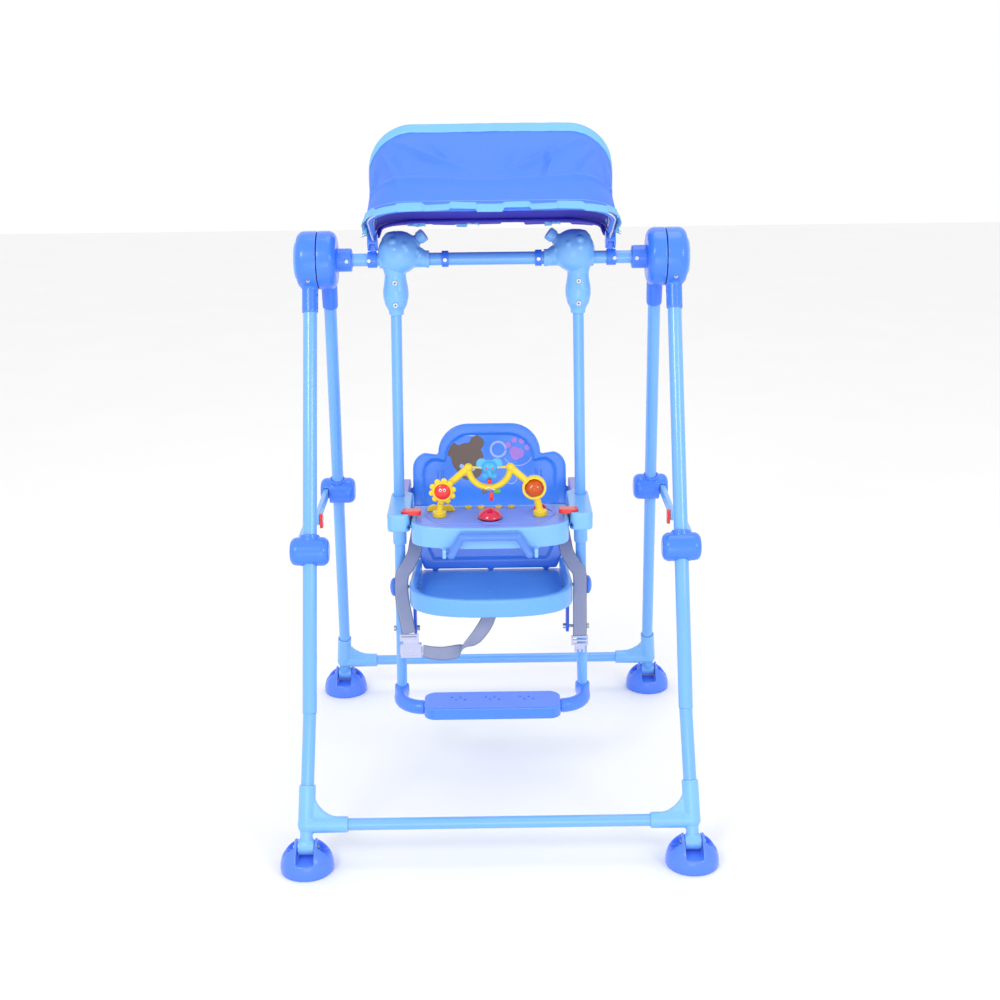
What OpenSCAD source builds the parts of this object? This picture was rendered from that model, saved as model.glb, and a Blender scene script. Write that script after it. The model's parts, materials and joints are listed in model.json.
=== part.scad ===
/* [Frame] */
// Height of the top bar axis above the floor
bar_z = 962; // [900:1:1020]
// Spacing of the left and right feet, centre to centre
foot_span_x = 642; // [580:1:700]
// Spacing of the front and rear feet, centre to centre
foot_span_y = 728; // [640:1:800]
// Outside diameter of the top bar
bar_d = 22; // [18:0.5:26]
// Outside diameter of the lower legs, rear legs and floor bars
leg_d = 22; // [18:0.5:24]
// Outside diameter of the upper front legs
upper_leg_d = 24; // [22:0.5:26]
// Wall of the steel tubes
tube_wall = 1.2; // [0.8:0.1:2]
// Height of the floor bars above the floor
floor_bar_z = 74; // [66:1:90]
// Distance of the side hubs from the top bar, along the leg
hub_drop = 500; // [420:1:560]

/* [Housings] */
// Radius of the leg housings at the ends of the top bar
housing_r = 50; // [44:1:56]
// Distance of the housing seam from the middle
housing_seam_x = 297.5; // [280:0.5:320]
// Width of the outer housing half
outer_half_w = 36; // [32:1:44]
// Width of the inner housing half
inner_half_w = 32; // [30:1:40]
// Outside diameter of the leg sockets
socket_d = 28; // [28:0.5:31]

/* [Feet] */
// Radius of the ball that forms a foot's dome
foot_r = 44.5; // [40:0.5:50]
// Height of the foot pivot above the floor
foot_pivot_z = 40; // [36:1:44]
// Diameter of the foot pins
pin_d = 8; // [6:0.5:10]

/* [Swing] */
// Sideways rest place of the swing on the top bar
swing_x = -9; // [-10:1:10]
// Half spacing of the swing poles where they leave the hangers
pole_top_x = 158; // [150:1:166]
// Half spacing of the swing poles at the footrest
pole_foot_x = 168.5; // [158:0.5:176]
// Outside diameter of the swing poles
pole_d = 19; // [16:0.5:22]
// Height of the armrest tops
arm_z = 540; // [500:1:580]
// Height of the seat rim
seat_z = 388; // [360:1:420]
// Height of the footrest top
footrest_z = 170; // [150:1:200]
// Half width of the seat
seat_half_w = 147; // [140:1:150]
// Reach of the seat in front of the poles
seat_front = 138; // [120:1:160]
// Height of the backrest
back_h = 275; // [240:1:300]
// Lean of the backrest
back_lean = 10; // [5:1:15]

/* [Tray] */
// Half width of the tray
tray_half_w = 136; // [126:1:136]
// Reach of the tray in front of the poles
tray_front = 172; // [160:1:190]
// Depth of the tray's skirt
tray_h = 37; // [32:1:44]

/* [Canopy] */
// Half width of the canopy hoops
canopy_half_w = 204; // [202:1:214]
// Length of the canopy hoops from their pivot
hoop_reach = 196; // [170:1:220]
// Corner radius of the canopy hoops
hoop_corner_r = 75; // [50:1:90]
// Angle of the fan on each side of the middle hoop
fan_angle = 77; // [65:1:78]
// Backward tilt of the canopy
canopy_tilt = 9; // [0:1:12]

/* [Hidden] */
$fn = 48;
eps = 1;
// Clearance between two fixed pieces, and radial clearance of a running fit
fit = 0.2;
run = 0.08;

tube_blue = "#78bdfb";
hub_blue = "#4d90ff";
foot_blue = "#5b8cff";
sky_blue = "#8ccaf8";
seat_blue = "#6db4f8";
back_blue = "#3f8fff";
panel_blue = "#7f9be8";
toy_yellow = "#f3d436";
toy_red = "#e8283c";
steel = "#c8ccd2";
webbing = "#9ea6c6";

// Legs: the front ones are side -1 and the rear ones are side 1
leg_angle = atan2(foot_span_y / 2, bar_z - foot_pivot_z);
pivot_s = (bar_z - foot_pivot_z) / cos(leg_angle);
corner_s = (bar_z - floor_bar_z) / cos(leg_angle);
socket_top_s = corner_s - 66;
knee_s = corner_s - 184;
leg_top_s = 44;
leg_end_s = corner_s - 14;
foot_x = foot_span_x / 2;
front_top_x = housing_seam_x + 14.5;
knee_x = foot_x - 6;
rear_top_x = housing_seam_x - 15;
rear_foot_x = foot_x - 3;
housing_socket_s = 92;
sleeve_x = foot_x - 70;
bar_end_x = housing_seam_x + outer_half_w - 8;
barrel_r = 12.5;
barrel_w = 28;
ear_t = 5;

function leg_point(side, s, x) = [x, side * s * sin(leg_angle), bar_z - s * cos(leg_angle)];
function front_leg_x(s) = front_top_x + (knee_x - front_top_x) * (s - leg_top_s) / (knee_s - leg_top_s);
function rear_leg_x(s) = rear_top_x + (rear_foot_x - rear_top_x) * (s - leg_top_s) / (corner_s - leg_top_s);
function lower_leg_x(s) = knee_x + (foot_x - knee_x) * (s - knee_s) / (corner_s - knee_s);

// Side hubs and folding braces
hub_r = 24.5;
hub_half_w = 33;
hub_z = bar_z - hub_drop * cos(leg_angle);
hub_y = hub_drop * sin(leg_angle);
front_hub_x = front_leg_x(hub_drop);
rear_hub_x = rear_leg_x(hub_drop);
link_t = 9;
link_h = 18;
rear_link_x = max(rear_hub_x + leg_d / 2 + link_t / 2 + 5.5, front_hub_x + 6);
front_link_x = rear_link_x + link_t + 5;
link_pin_d = 6;
mid_eye_r = 11;

// Swing
hanger_axis_x = pole_top_x - 0.5;
hanger_in_x = 98;
hanger_out_x = 184;
hanger_bottom_z = bar_z - 96;
pole_top_z = bar_z - 36;
pole_end_z = footrest_z - 12;
arm_h = 32;
arm_front_y = -122;
arm_back_y = 22;
arm_inner_x = tray_half_w + 2;
arm_outer_x = pole_foot_x + 9.5;
sleeve_bottom_z = arm_z - 93;
seat_back_y = 100;
seat_h = 34;
seat_floor = 5;
seat_bottom_z = seat_z - seat_h;
back_t = 14;
back_foot_z = seat_bottom_z + seat_floor + 5;
back_foot_y = seat_back_y - 3;
back_half_w = 144;
arch_half_w = 96;
knob_z = seat_z - 23;
brace_bolt_z = seat_z - 104;
plate_x = seat_half_w - 6;
bolt_d = 6;
function pole_x(z) = pole_top_x + (pole_foot_x - pole_top_x) * (hanger_bottom_z - z) / (hanger_bottom_z - pole_end_z);

// Tray and toys
tray_z = arm_z - 10;
tray_bottom_z = tray_z - tray_h;
tray_back_y = -34;
tray_corner_y = 54 - tray_front;
panel_t = 3;
panel_inset = 8;
skin = 3;
rail_z = tray_z - 14;
handle_pivot = [0, -tray_front - 10, tray_bottom_z - 6];
handle_half_w = 66;
handle_top_half_w = 48;
handle_d = 14;
handle_lug_x = handle_half_w + handle_d / 2 + 1;
toy_y = -102;
arch_base_x = 87.5;
arch_peak = [36, toy_y, tray_z + 88];
arch_d = 12.5;
rod_d = 4;
flower_pos = [-81, toy_y - 12, tray_z + 49];
dial_pos = [77, toy_y, tray_z + 51];
dome_pos = [0, -119, tray_z];
melody_x = [-38, -15.5, 15.5, 38];
melody_y = -50;

// Canopy
canopy_pivot_z = bar_z + 30;
clamp_x = 205;
hub_box_x = 197.5;
hoop_wire_d = 4;
hoop_start = 9.5;
cloth_pull = 0.85;
cloth_low = 50;
cloth_t = 2;

// Rounded outline of a folded or moulded edge, as points along a power curve
function bow(half_w, reach, y0, n, steps) = [for (i = [0:steps])
    let (a = 180 * i / steps)
    [half_w * sign(cos(a)) * pow(abs(cos(a)), 2 / n), y0 - reach * pow(abs(sin(a)), 2 / n)]];
function arc(c, r, a0, a1, steps) = [for (i = [0:steps])
    let (a = a0 + (a1 - a0) * i / steps)
    [c.x + r * cos(a), c.y + r * sin(a)]];

module rod(a, b, d) {
    v = b - a;
    l = norm(v);
    translate(a) rotate([0, acos(v.z / l), atan2(v.y, v.x)]) cylinder(d = d, h = l);
}
module pipe(a, b, d, wall) {
    u = (b - a) / norm(b - a);
    difference() {
        rod(a, b, d);
        rod(a - u, b + u, d - 2 * wall);
    }
}
module x_rod(x0, x1, y, z, d) {
    translate([x0, y, z]) rotate([0, 90, 0]) cylinder(d = d, h = x1 - x0);
}
module both_sides() {
    children();
    mirror([1, 0, 0]) children();
}
module on_swing() {
    translate([swing_x, 0, 0]) children();
}
module block(x0, x1, y0, y1, z0, z1) {
    translate([x0, y0, z0]) cube([x1 - x0, y1 - y0, z1 - z0]);
}
module rounded_plate(x0, x1, y0, y1, r) {
    translate([x0 + r, y0]) square([x1 - x0 - 2 * r, y1 - y0]);
    translate([x0, y0 + r]) square([x1 - x0, y1 - y0 - 2 * r]);
    for (x = [x0 + r, x1 - r], y = [y0 + r, y1 - r]) translate([x, y]) circle(r = r);
}

// ---- Top bar and its collars ----
module top_bar() {
    color(tube_blue) difference() {
        pipe([-bar_end_x, 0, bar_z], [bar_end_x, 0, bar_z], bar_d, 1.6);
        for (x = [-80, 80]) y_screw_hole(x, bar_z, 3.4);
    }
}
module y_screw_hole(x, z, d) {
    translate([x, -30, z]) rotate([-90, 0, 0]) cylinder(d = d, h = 30);
}
module stop_collars() {
    color(hub_blue) for (x = [-80, 80]) difference() {
        x_rod(x - 6, x + 6, 0, bar_z, bar_d + 6);
        x_rod(x - 7, x + 7, 0, bar_z, bar_d + 2 * fit);
        y_screw_hole(x, bar_z, 3.4);
    }
}
module canopy_clamps() {
    color(hub_blue) both_sides() difference() {
        union() {
            x_rod(clamp_x - 8, clamp_x + 8, 0, bar_z, bar_d + 6);
            block(clamp_x - 6, clamp_x + 3, -4, 4, bar_z + 6, canopy_pivot_z);
            x_rod(clamp_x - 6, clamp_x + 3, 0, canopy_pivot_z, 12);
        }
        x_rod(clamp_x - 9, clamp_x + 9, 0, bar_z, bar_d + 2 * fit);
        y_screw_hole(clamp_x + 5, bar_z, 3.4);
        x_rod(clamp_x - 9, clamp_x + 9, 0, canopy_pivot_z, 4 + 2 * run);
    }
}

// ---- Leg housings ----
function drum_profile(r, w, c) = concat([[0, 0], [r, 0]], arc([r - c, w - c], c, 0, 90, 8), [[0, w]]);
module drum(w) {
    difference() {
        rotate_extrude() polygon(drum_profile(housing_r, w, 14));
        difference() {
            translate([0, 0, -eps]) rotate_extrude() polygon(drum_profile(housing_r - skin, w + eps - skin, 11));
            translate([0, 0, -2 * eps]) cylinder(r = bar_d / 2 + 6, h = w);
        }
    }
}
module inner_housing() {
    difference() {
        union() {
            translate([housing_seam_x - 0.3, 0, bar_z]) rotate([0, -90, 0]) drum(inner_half_w);
            x_rod(housing_seam_x - inner_half_w - 26, housing_seam_x - inner_half_w + 1, 0, bar_z, 40);
            rod(leg_point(1, 30, rear_leg_x(30)), leg_point(1, housing_socket_s, rear_leg_x(housing_socket_s)), socket_d);
        }
        x_rod(housing_seam_x - inner_half_w - 40, housing_seam_x + 1, 0, bar_z, bar_d + 2 * fit);
        rod(leg_point(1, leg_top_s - 1, rear_leg_x(leg_top_s - 1)), leg_point(1, 99, rear_leg_x(99)), leg_d + 2 * fit);
        block(housing_seam_x - 0.3, housing_seam_x + 20, -80, 80, bar_z - 110, bar_z + 60);
        y_screw_hole(housing_seam_x - inner_half_w - 18, bar_z, 3.4);
    }
}
module inner_housings() {
    color(hub_blue) both_sides() inner_housing();
}
module outer_housing() {
    difference() {
        union() {
            translate([housing_seam_x + 0.3, 0, bar_z]) rotate([0, 90, 0]) drum(outer_half_w);
            rod(leg_point(-1, 30, front_leg_x(30)), leg_point(-1, housing_socket_s, front_leg_x(housing_socket_s)), socket_d);
        }
        x_rod(housing_seam_x - 1, bar_end_x + 1, 0, bar_z, bar_d + 2 * run);
        rod(leg_point(-1, leg_top_s - 1, front_leg_x(leg_top_s - 1)), leg_point(-1, 99, front_leg_x(99)), upper_leg_d + 2 * fit);
        block(housing_seam_x - 20, housing_seam_x + 0.3, -80, 80, bar_z - 110, bar_z + 60);
    }
}
module outer_housings() {
    color(hub_blue) both_sides() outer_housing();
}
module housing_caps() {
    color(sky_blue) both_sides() translate([housing_seam_x + outer_half_w + 0.3, 0, bar_z])
        rotate([0, 90, 0]) rotate_extrude() polygon(concat([[0, 0], [32, 0]], arc([28, 0], 4, 0, 90, 5), [[0, 5]]));
}

// ---- Legs and floor bars ----
module front_legs() {
    color(tube_blue) both_sides()
        pipe(leg_point(-1, leg_top_s, front_top_x), leg_point(-1, knee_s, knee_x), upper_leg_d, 0.8);
}
module front_lower_legs() {
    color(tube_blue) both_sides()
        pipe(leg_point(-1, knee_s + fit, knee_x), leg_point(-1, leg_end_s, lower_leg_x(leg_end_s)), leg_d, tube_wall);
}
module rear_legs() {
    color(tube_blue) both_sides()
        pipe(leg_point(1, leg_top_s, rear_top_x), leg_point(1, leg_end_s, rear_leg_x(leg_end_s)), leg_d, tube_wall);
}
module floor_bar(side) {
    p = leg_point(side, corner_s, foot_x - 12);
    color(tube_blue) pipe([-p.x, p.y, p.z], p, leg_d - 2, tube_wall);
}
module front_floor_bar() {
    floor_bar(-1);
}
module rear_floor_bar() {
    floor_bar(1);
}

// ---- Corner brackets ----
module corner_web(side) {
    r = 46;
    translate(leg_point(side, corner_s, foot_x)) rotate([side * leg_angle, 0, 0]) rotate([90, 0, 0])
        translate([0, 0, -7.5]) linear_extrude(height = 15)
            polygon(concat([[0, -9], [0, r + 12]], arc([-12 - r, 12 + r], r, 0, -90, 10), [[-12 - r, -9]]));
}
module corner_bracket(side, top, leg_end) {
    corner = leg_point(side, corner_s, foot_x);
    pivot = leg_point(side, pivot_s, foot_x);
    difference() {
        union() {
            rod(top, corner, socket_d);
            translate(corner) sphere(d = socket_d + 1);
            x_rod(sleeve_x, foot_x, corner.y, corner.z, leg_d + 5);
            corner_web(side);
            rod(corner, pivot, 21);
            x_rod(pivot.x - barrel_w / 2, pivot.x + barrel_w / 2, pivot.y, pivot.z, 2 * barrel_r);
        }
        rod(top + (top - leg_end) / 50, leg_end, leg_d + 2 * fit);
        x_rod(sleeve_x - 1, foot_x - 12 + fit, corner.y, corner.z, leg_d - 2 + 2 * fit);
        x_rod(pivot.x - 30, pivot.x + 30, pivot.y, pivot.z, pin_d + 2 * fit);
    }
}
module front_corners() {
    color(tube_blue) both_sides() corner_bracket(-1, leg_point(-1, socket_top_s, lower_leg_x(socket_top_s)),
        leg_point(-1, leg_end_s + fit, lower_leg_x(leg_end_s)));
}
module rear_corners() {
    color(tube_blue) both_sides() corner_bracket(1, leg_point(1, socket_top_s, rear_leg_x(socket_top_s)),
        leg_point(1, leg_end_s + fit, rear_leg_x(leg_end_s)));
}

// ---- Feet ----
module foot(x, side) {
    p = leg_point(side, pivot_s, foot_x);
    slot = barrel_w + 1;
    ball_z = 8;
    color(foot_blue) translate([x, p.y, 0]) difference() {
        union() {
            intersection() {
                translate([0, 0, ball_z]) sphere(r = foot_r, $fn = 64);
                cylinder(r = foot_r, h = foot_r + ball_z);
            }
            for (m = [-1, 1]) {
                x_rod(m * (slot + ear_t) / 2 - ear_t / 2, m * (slot + ear_t) / 2 + ear_t / 2, 0, foot_pivot_z, 30);
            }
        }
        block(-slot / 2, slot / 2, -60, 60, foot_pivot_z - barrel_r - 2, 90);
        for (m = [-1, 1]) block(m * 30 - 11, m * 30 + 11, -13, 13, foot_pivot_z - 12, 90);
        x_rod(-40, 40, 0, foot_pivot_z, pin_d + 2 * run);
    }
}
module foot_front_left() {
    foot(-foot_x, -1);
}
module foot_front_right() {
    foot(foot_x, -1);
}
module foot_rear_left() {
    foot(-foot_x, 1);
}
module foot_rear_right() {
    foot(foot_x, 1);
}
module foot_pin(side) {
    p = leg_point(side, pivot_s, foot_x);
    l = barrel_w + 1 + 2 * ear_t;
    x_rod(p.x - l / 2 - 2, p.x + l / 2 + 2, p.y, p.z, pin_d);
}

// ---- Side hubs and folding braces ----
module side_hub(side, cx, d, link_x) {
    c = leg_point(side, hub_drop, cx);
    e = 12;
    difference() {
        union() {
            translate([c.x - hub_half_w, c.y, c.z]) rotate([0, 90, 0]) rotate_extrude()
                polygon(concat([[0, 0]], arc([hub_r - e, e], e, -90, 0, 6), arc([hub_r - e, 2 * hub_half_w - e], e, 0, 90, 6),
                    [[0, 2 * hub_half_w]]));
            rod(leg_point(side, hub_drop - hub_r - 4, cx), leg_point(side, hub_drop + 4, cx), d + 8);
        }
        rod(leg_point(side, hub_drop - 60, hub_leg_x(side, -60)), leg_point(side, hub_drop + 60, hub_leg_x(side, 60)), d + 2 * fit);
        translate([link_x, c.y, c.z]) {
            x_rod(-link_t / 2 - 0.6, link_t / 2 + 0.6, 0, 0, link_h + 2);
            block(-link_t / 2 - 0.6, link_t / 2 + 0.6, side > 0 ? -40 : -13, side > 0 ? 13 : 40, -40, link_h / 2 + 1);
            x_rod(-11, 11, 0, 0, link_pin_d + 2 * fit);
        }
        translate([c.x + hub_half_w - 18, c.y, c.z]) rotate([0, 90, 0]) difference() {
            cylinder(r = hub_r + 3, h = 0.8);
            translate([0, 0, -eps]) cylinder(r = hub_r - 0.8, h = 3);
        }
    }
}
function hub_leg_x(side, ds) = side < 0 ? front_leg_x(hub_drop + ds) : rear_leg_x(hub_drop + ds);
module front_hubs() {
    color(hub_blue) both_sides() side_hub(-1, front_hub_x, upper_leg_d, front_link_x);
}
module rear_hubs() {
    color(hub_blue) both_sides() side_hub(1, rear_hub_x, leg_d, rear_link_x);
}
module brace_link(side, x, boss) {
    color(tube_blue) difference() {
        union() {
            block(x - link_t / 2, x + link_t / 2, side > 0 ? 0 : -hub_y, side > 0 ? hub_y : 0, hub_z - link_h / 2, hub_z + link_h / 2);
            x_rod(x - link_t / 2, x + link_t / 2, side * hub_y, hub_z, link_h);
            x_rod(x - link_t / 2 - (boss < 0 ? 2.2 : 0), x + link_t / 2 + (boss > 0 ? 2.2 : 0), 0, hub_z, 2 * mid_eye_r);
        }
        x_rod(x - 10, x + 10, side * hub_y, hub_z, link_pin_d + 2 * run);
        if (side > 0) x_rod(x - 10, x + 1, 0, hub_z, link_pin_d + 2 * fit);
    }
}
module brace_rear_right() {
    brace_link(1, rear_link_x, 1);
}
module brace_rear_left() {
    mirror([1, 0, 0]) brace_rear_right();
}
module brace_front_right() {
    brace_link(-1, front_link_x, -1);
}
module brace_front_left() {
    mirror([1, 0, 0]) brace_front_right();
}
module brace_latch_right() {
    x1 = rear_link_x - link_t / 2 - 0.3;
    color(toy_red) union() {
        x_rod(x1 - 6, x1, 0, hub_z, 20);
        block(x1 - 6, x1, -7, 7, hub_z - 16, hub_z + 2);
        x_rod(x1 - 1, x1 + 4, 0, hub_z, link_pin_d);
    }
}
module brace_latch_left() {
    mirror([1, 0, 0]) brace_latch_right();
}
module hub_pin(side, x) {
    x_rod(x - 9.4, x + 10.8, side * hub_y, hub_z, link_pin_d);
}
module y_screw(x, y, z, d, l) {
    translate([x, y, z]) rotate([-90, 0, 0]) cylinder(d = d, h = l);
    translate([x, y - 2, z]) rotate([-90, 0, 0]) cylinder(d = 2 * d, h = 2);
}
module rear_fasteners() {
    color(steel) both_sides() {
        foot_pin(1);
        hub_pin(1, rear_link_x);
        y_screw(80, -bar_d / 2 - 3, bar_z, 3.2, 6);
        y_screw(clamp_x + 5, -bar_d / 2 - 3, bar_z, 3.2, 2.6);
        y_screw(housing_seam_x - inner_half_w - 18, -20, bar_z, 3.2, 8.5);
    }
}
module front_fasteners() {
    color(steel) both_sides() {
        foot_pin(-1);
        hub_pin(-1, front_link_x);
    }
}

// ---- Canopy ----
// A hoop is a rounded U, as points from the right pivot over the top to the left pivot
function hoop_points(w, h, r, n) = concat([[w, 0]], arc([w - r, h - r], r, 0, 90, n), arc([r - w, h - r], r, 90, 180, n), [[-w, 0]]);
function hoop_station(p, a) = [p.x, -p.y * sin(a), canopy_pivot_z + p.y * cos(a)];
function fan_at(i, n) = -canopy_tilt + fan_angle * (1 - 2 * i / n);
// The cloth is pulled nearly straight between two hoops, so its reach is shorter there
function fan_pull(i, n) = 1 - cloth_pull * (1 - cos(fan_angle / 2) / cos(fan_angle * (abs(1 - 2 * i / n) - 0.5)));
module canopy_cloth() {
    n = 6;
    fans = 12;
    outer = hoop_points(canopy_half_w + 5, hoop_reach + 1, hoop_corner_r, n);
    inner = hoop_points(canopy_half_w + 5 - cloth_t, hoop_reach + 1 - cloth_t, hoop_corner_r - cloth_t, n);
    m = len(outer);
    pts = [for (layer = [outer, inner], i = [0:fans], p = layer)
        hoop_station([p.x, max(p.y, cloth_low) * fan_pull(i, fans)], fan_at(i, fans))];
    base = (fans + 1) * m;
    quads = [
        for (i = [0:fans - 1], j = [0:m - 2]) let (a = i * m + j) [a, a + 1, a + m + 1, a + m],
        for (i = [0:fans - 1], j = [0:m - 2]) let (a = base + i * m + j) [a, a + m, a + m + 1, a + 1],
        for (j = [0:m - 2]) [j, base + j, base + j + 1, j + 1],
        for (j = [0:m - 2]) let (a = fans * m + j) [a, a + 1, base + a + 1, base + a],
        for (i = [0:fans - 1]) let (a = i * m) [a, a + m, base + a + m, base + a],
        for (i = [0:fans - 1]) let (a = i * m + m - 1) [a, base + a, base + a + m, a + m]
    ];
    tris = [for (q = quads) for (t = [[q[0], q[2], q[1]], [q[0], q[3], q[2]]]) t];
    color("#4f8bff") polyhedron(points = pts, faces = tris);
}
module canopy_hoop(a, w) {
    h = hoop_reach - hoop_wire_d;
    r = hoop_corner_r;
    translate([0, 0, canopy_pivot_z]) rotate([a, 0, 0]) {
        for (m = [-1, 1]) {
            translate([m * w, 0, hoop_start]) cylinder(d = hoop_wire_d, h = h - r - hoop_start);
            translate([m * (w - r), 0, h - r]) rotate([90, 0, 0]) rotate([0, 0, m > 0 ? 0 : 90])
                rotate_extrude(angle = 90) translate([r, 0]) circle(d = hoop_wire_d, $fn = 16);
        }
        x_rod(r - w, w - r, 0, h, hoop_wire_d);
    }
}
module canopy_hoops() {
    color("#e8eef8") {
        for (i = [-1, 0, 1]) canopy_hoop(-canopy_tilt + i * fan_angle, canopy_half_w - 2.2);
    }
}
module canopy_hubs() {
    color(hub_blue) both_sides() translate([clamp_x, 0, canopy_pivot_z]) difference() {
        union() {
            x_rod(-10, -6.3, 0, 0, 30);
            x_rod(3.3, 7, 0, 0, 30);
            difference() {
                x_rod(-10, 7, 0, 0, 30);
                x_rod(-11, 8, 0, 0, 18);
                rotate([-canopy_tilt, 0, 0]) block(-11, 8, -20, 20, -20, -4);
            }
            x_rod(-8, 5, 0, 0, 4);
        }
        for (i = [-1, 0, 1]) rotate([-canopy_tilt + i * fan_angle, 0, 0])
            translate([canopy_half_w - 2.2 - clamp_x, 0, hoop_start - fit]) cylinder(d = hoop_wire_d + 2 * fit, h = 30);
    }
}

// ---- Hangers ----
hanger_profile = [[0, -96], [12.5, -96], [13.5, -88], [19, -78], [22, -64], [22, -52], [19, -34], [18.5, -26], [22, -12],
    [24, 4], [24, 24], [21, 37], [14, 45.5], [0, 49]];
module hanger_body() {
    difference() {
        union() {
            translate([hanger_axis_x, 0, bar_z]) rotate_extrude() polygon(hanger_profile);
            x_rod(hanger_in_x, hanger_out_x, 0, bar_z, 28);
            x_rod(hanger_in_x, hanger_in_x + 6, 0, bar_z, 30);
            x_rod(hanger_out_x - 6, hanger_out_x, 0, bar_z, 30);
            rod([hanger_axis_x - 8, 0, bar_z + 12], [hanger_axis_x - 38, 0, bar_z + 4], 34);
            translate([hanger_axis_x - 38, 0, bar_z + 4]) sphere(d = 35.4);
            translate([hanger_axis_x - 8, 0, bar_z + 12]) sphere(r = 36.5);
            rod([hanger_axis_x - 8, 0, bar_z + 10], [hanger_axis_x - 39, 0, bar_z + 33], 21);
            for (p = [[1, 33, -24], [-17, 26, -26], [-36, 15, -14]])
                translate([hanger_axis_x + p.x, p.z, bar_z + p.y]) sphere(d = 15);
        }
        x_rod(80, 200, 0, bar_z, bar_d + 2 * run);
        rod([pole_x(hanger_bottom_z - 10), 0, hanger_bottom_z - 10], [pole_x(pole_top_z + fit), 0, pole_top_z + fit], pole_d + 2 * fit);
        rod([hanger_axis_x - 39, 0, bar_z + 33], [hanger_axis_x - 60, 0, bar_z + 33 + 21 * 23 / 31], 30);
        for (z = [-38, -76]) translate([hanger_axis_x, 0, bar_z + z]) rotate([90, 0, 0]) {
            cylinder(d = 4.4, h = 40);
            translate([0, 0, 18]) cylinder(d = 9, h = 20);
        }
    }
}
module hanger_shells(front) {
    color(sky_blue) on_swing() both_sides() difference() {
        hanger_body();
        block(60, 220, front ? 0 : -60, front ? 60 : 0, bar_z - 140, bar_z + 90);
    }
}
module hanger_front_shells() {
    hanger_shells(true);
}
module hanger_rear_shells() {
    hanger_shells(false);
}
module hanger_knob(side) {
    a = atan2(31, 23);
    color(sky_blue) on_swing() mirror([side < 0 ? 1 : 0, 0, 0])
        translate([hanger_axis_x - 39, 0, bar_z + 33]) rotate([0, -a, 0]) translate([0, 0, 0.4]) {
            cylinder(d = 19, h = 5);
            for (i = [0:3]) translate([0, 0, 4 + 3 * i]) {
                cylinder(d = 22, h = 2);
                cylinder(d = 20.5, h = 3.2);
            }
        }
}
module hanger_knob_left() {
    hanger_knob(-1);
}
module hanger_knob_right() {
    hanger_knob(1);
}

// ---- Swing poles, armrests and seat ----
module swing_poles() {
    color(tube_blue) on_swing() both_sides() difference() {
        pipe([pole_x(pole_top_z), 0, pole_top_z], [pole_x(pole_end_z), 0, pole_end_z], pole_d, 1);
        for (z = [knob_z, brace_bolt_z]) x_rod(120, 200, 0, z, bolt_d + 2 * fit);
        y_screw_hole(hanger_axis_x, bar_z - 76, 4.4);
        y_screw_hole(hanger_axis_x, bar_z - 38, 4.4);
    }
}
module pole_bore(z0, z1) {
    rod([pole_x(z0), 0, z0], [pole_x(z1), 0, z1], pole_d + 2 * fit);
}
module armrests() {
    color(sky_blue) on_swing() both_sides() difference() {
        union() {
            translate([0, 0, arm_z - arm_h]) linear_extrude(height = arm_h)
                rounded_plate(arm_inner_x, arm_outer_x, arm_front_y, arm_back_y, 11);
            rod([pole_x(arm_z - arm_h + 2), 0, arm_z - arm_h + 2], [pole_x(sleeve_bottom_z), 0, sleeve_bottom_z], pole_d + 6);
        }
        pole_bore(arm_z + 20, sleeve_bottom_z - 10);
        block(arm_inner_x - 1, arm_inner_x + 6, arm_front_y - 1, -40, rail_z - 3.5, rail_z + 3.5);
        translate([0, 0, arm_z - 12]) linear_extrude(height = 20) rounded_plate(arm_inner_x - 30, 153, -114, -94, 6);
    }
}
module back_brackets() {
    color(panel_blue) on_swing() both_sides() difference() {
        union() {
            block(back_half_w + 4, arm_outer_x - 2, arm_back_y + fit, lug_y(), lug_z() - 18, lug_z() + 22);
            x_rod(back_half_w + 4, arm_outer_x - 2, lug_y(), lug_z() + 2, 40);
        }
        x_rod(back_half_w, back_half_w + 20, lug_y(), lug_z(), 10 + 2 * fit);
    }
}
function lug_z() = arm_z - 30;
function lug_y() = back_foot_y + back_t / 2 + (lug_z() - back_foot_z) * tan(back_lean);
function back_outline() = concat(
    [[-back_half_w + 19, 0], [back_half_w - 19, 0]],
    [[back_half_w, 44]],
    arc([back_half_w - 30, back_h - 83], 30, 0, 75, 6),
    [[arch_half_w, back_h - 58]],
    arc([arch_half_w - 55, back_h - 55], 55, 0, 90, 8),
    arc([55 - arch_half_w, back_h - 55], 55, 90, 180, 8),
    [[-arch_half_w, back_h - 58]],
    arc([30 - back_half_w, back_h - 83], 30, 105, 180, 6),
    [[-back_half_w, 44]]);
module backrest() {
    c = [0, back_h / 2];
    color(back_blue) on_swing() {
        translate([0, back_foot_y, back_foot_z]) rotate([-back_lean, 0, 0]) difference() {
            translate([0, back_t, 0]) rotate([90, 0, 0]) linear_extrude(height = back_t) polygon(back_outline());
            translate([0, 4, 0]) rotate([90, 0, 0]) linear_extrude(height = 20)
                translate(c) scale(0.86) translate(-c) polygon(back_outline());
            translate([0, back_t + 6, 0]) rotate([90, 0, 0]) linear_extrude(height = 12)
                translate(c) scale(0.92) translate(-c) polygon(back_outline());
        }
        x_rod(-back_half_w - 12, -back_half_w + 4, lug_y(), lug_z(), 10);
        x_rod(back_half_w - 4, back_half_w + 12, lug_y(), lug_z(), 10);
        for (x = [-105, 0, 105]) block(x - 4, x + 4, back_foot_y + 2, back_foot_y + 12, seat_bottom_z + seat_floor, back_foot_z + 8);
    }
}
module seat_outline(inset) {
    w = seat_half_w - inset;
    polygon(concat([[w - 6, seat_back_y + 14], [6 - w, seat_back_y + 14]], [for (p = bow(-w, seat_front - 40 - inset, -40, 2.7, 24)) p]));
}
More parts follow.
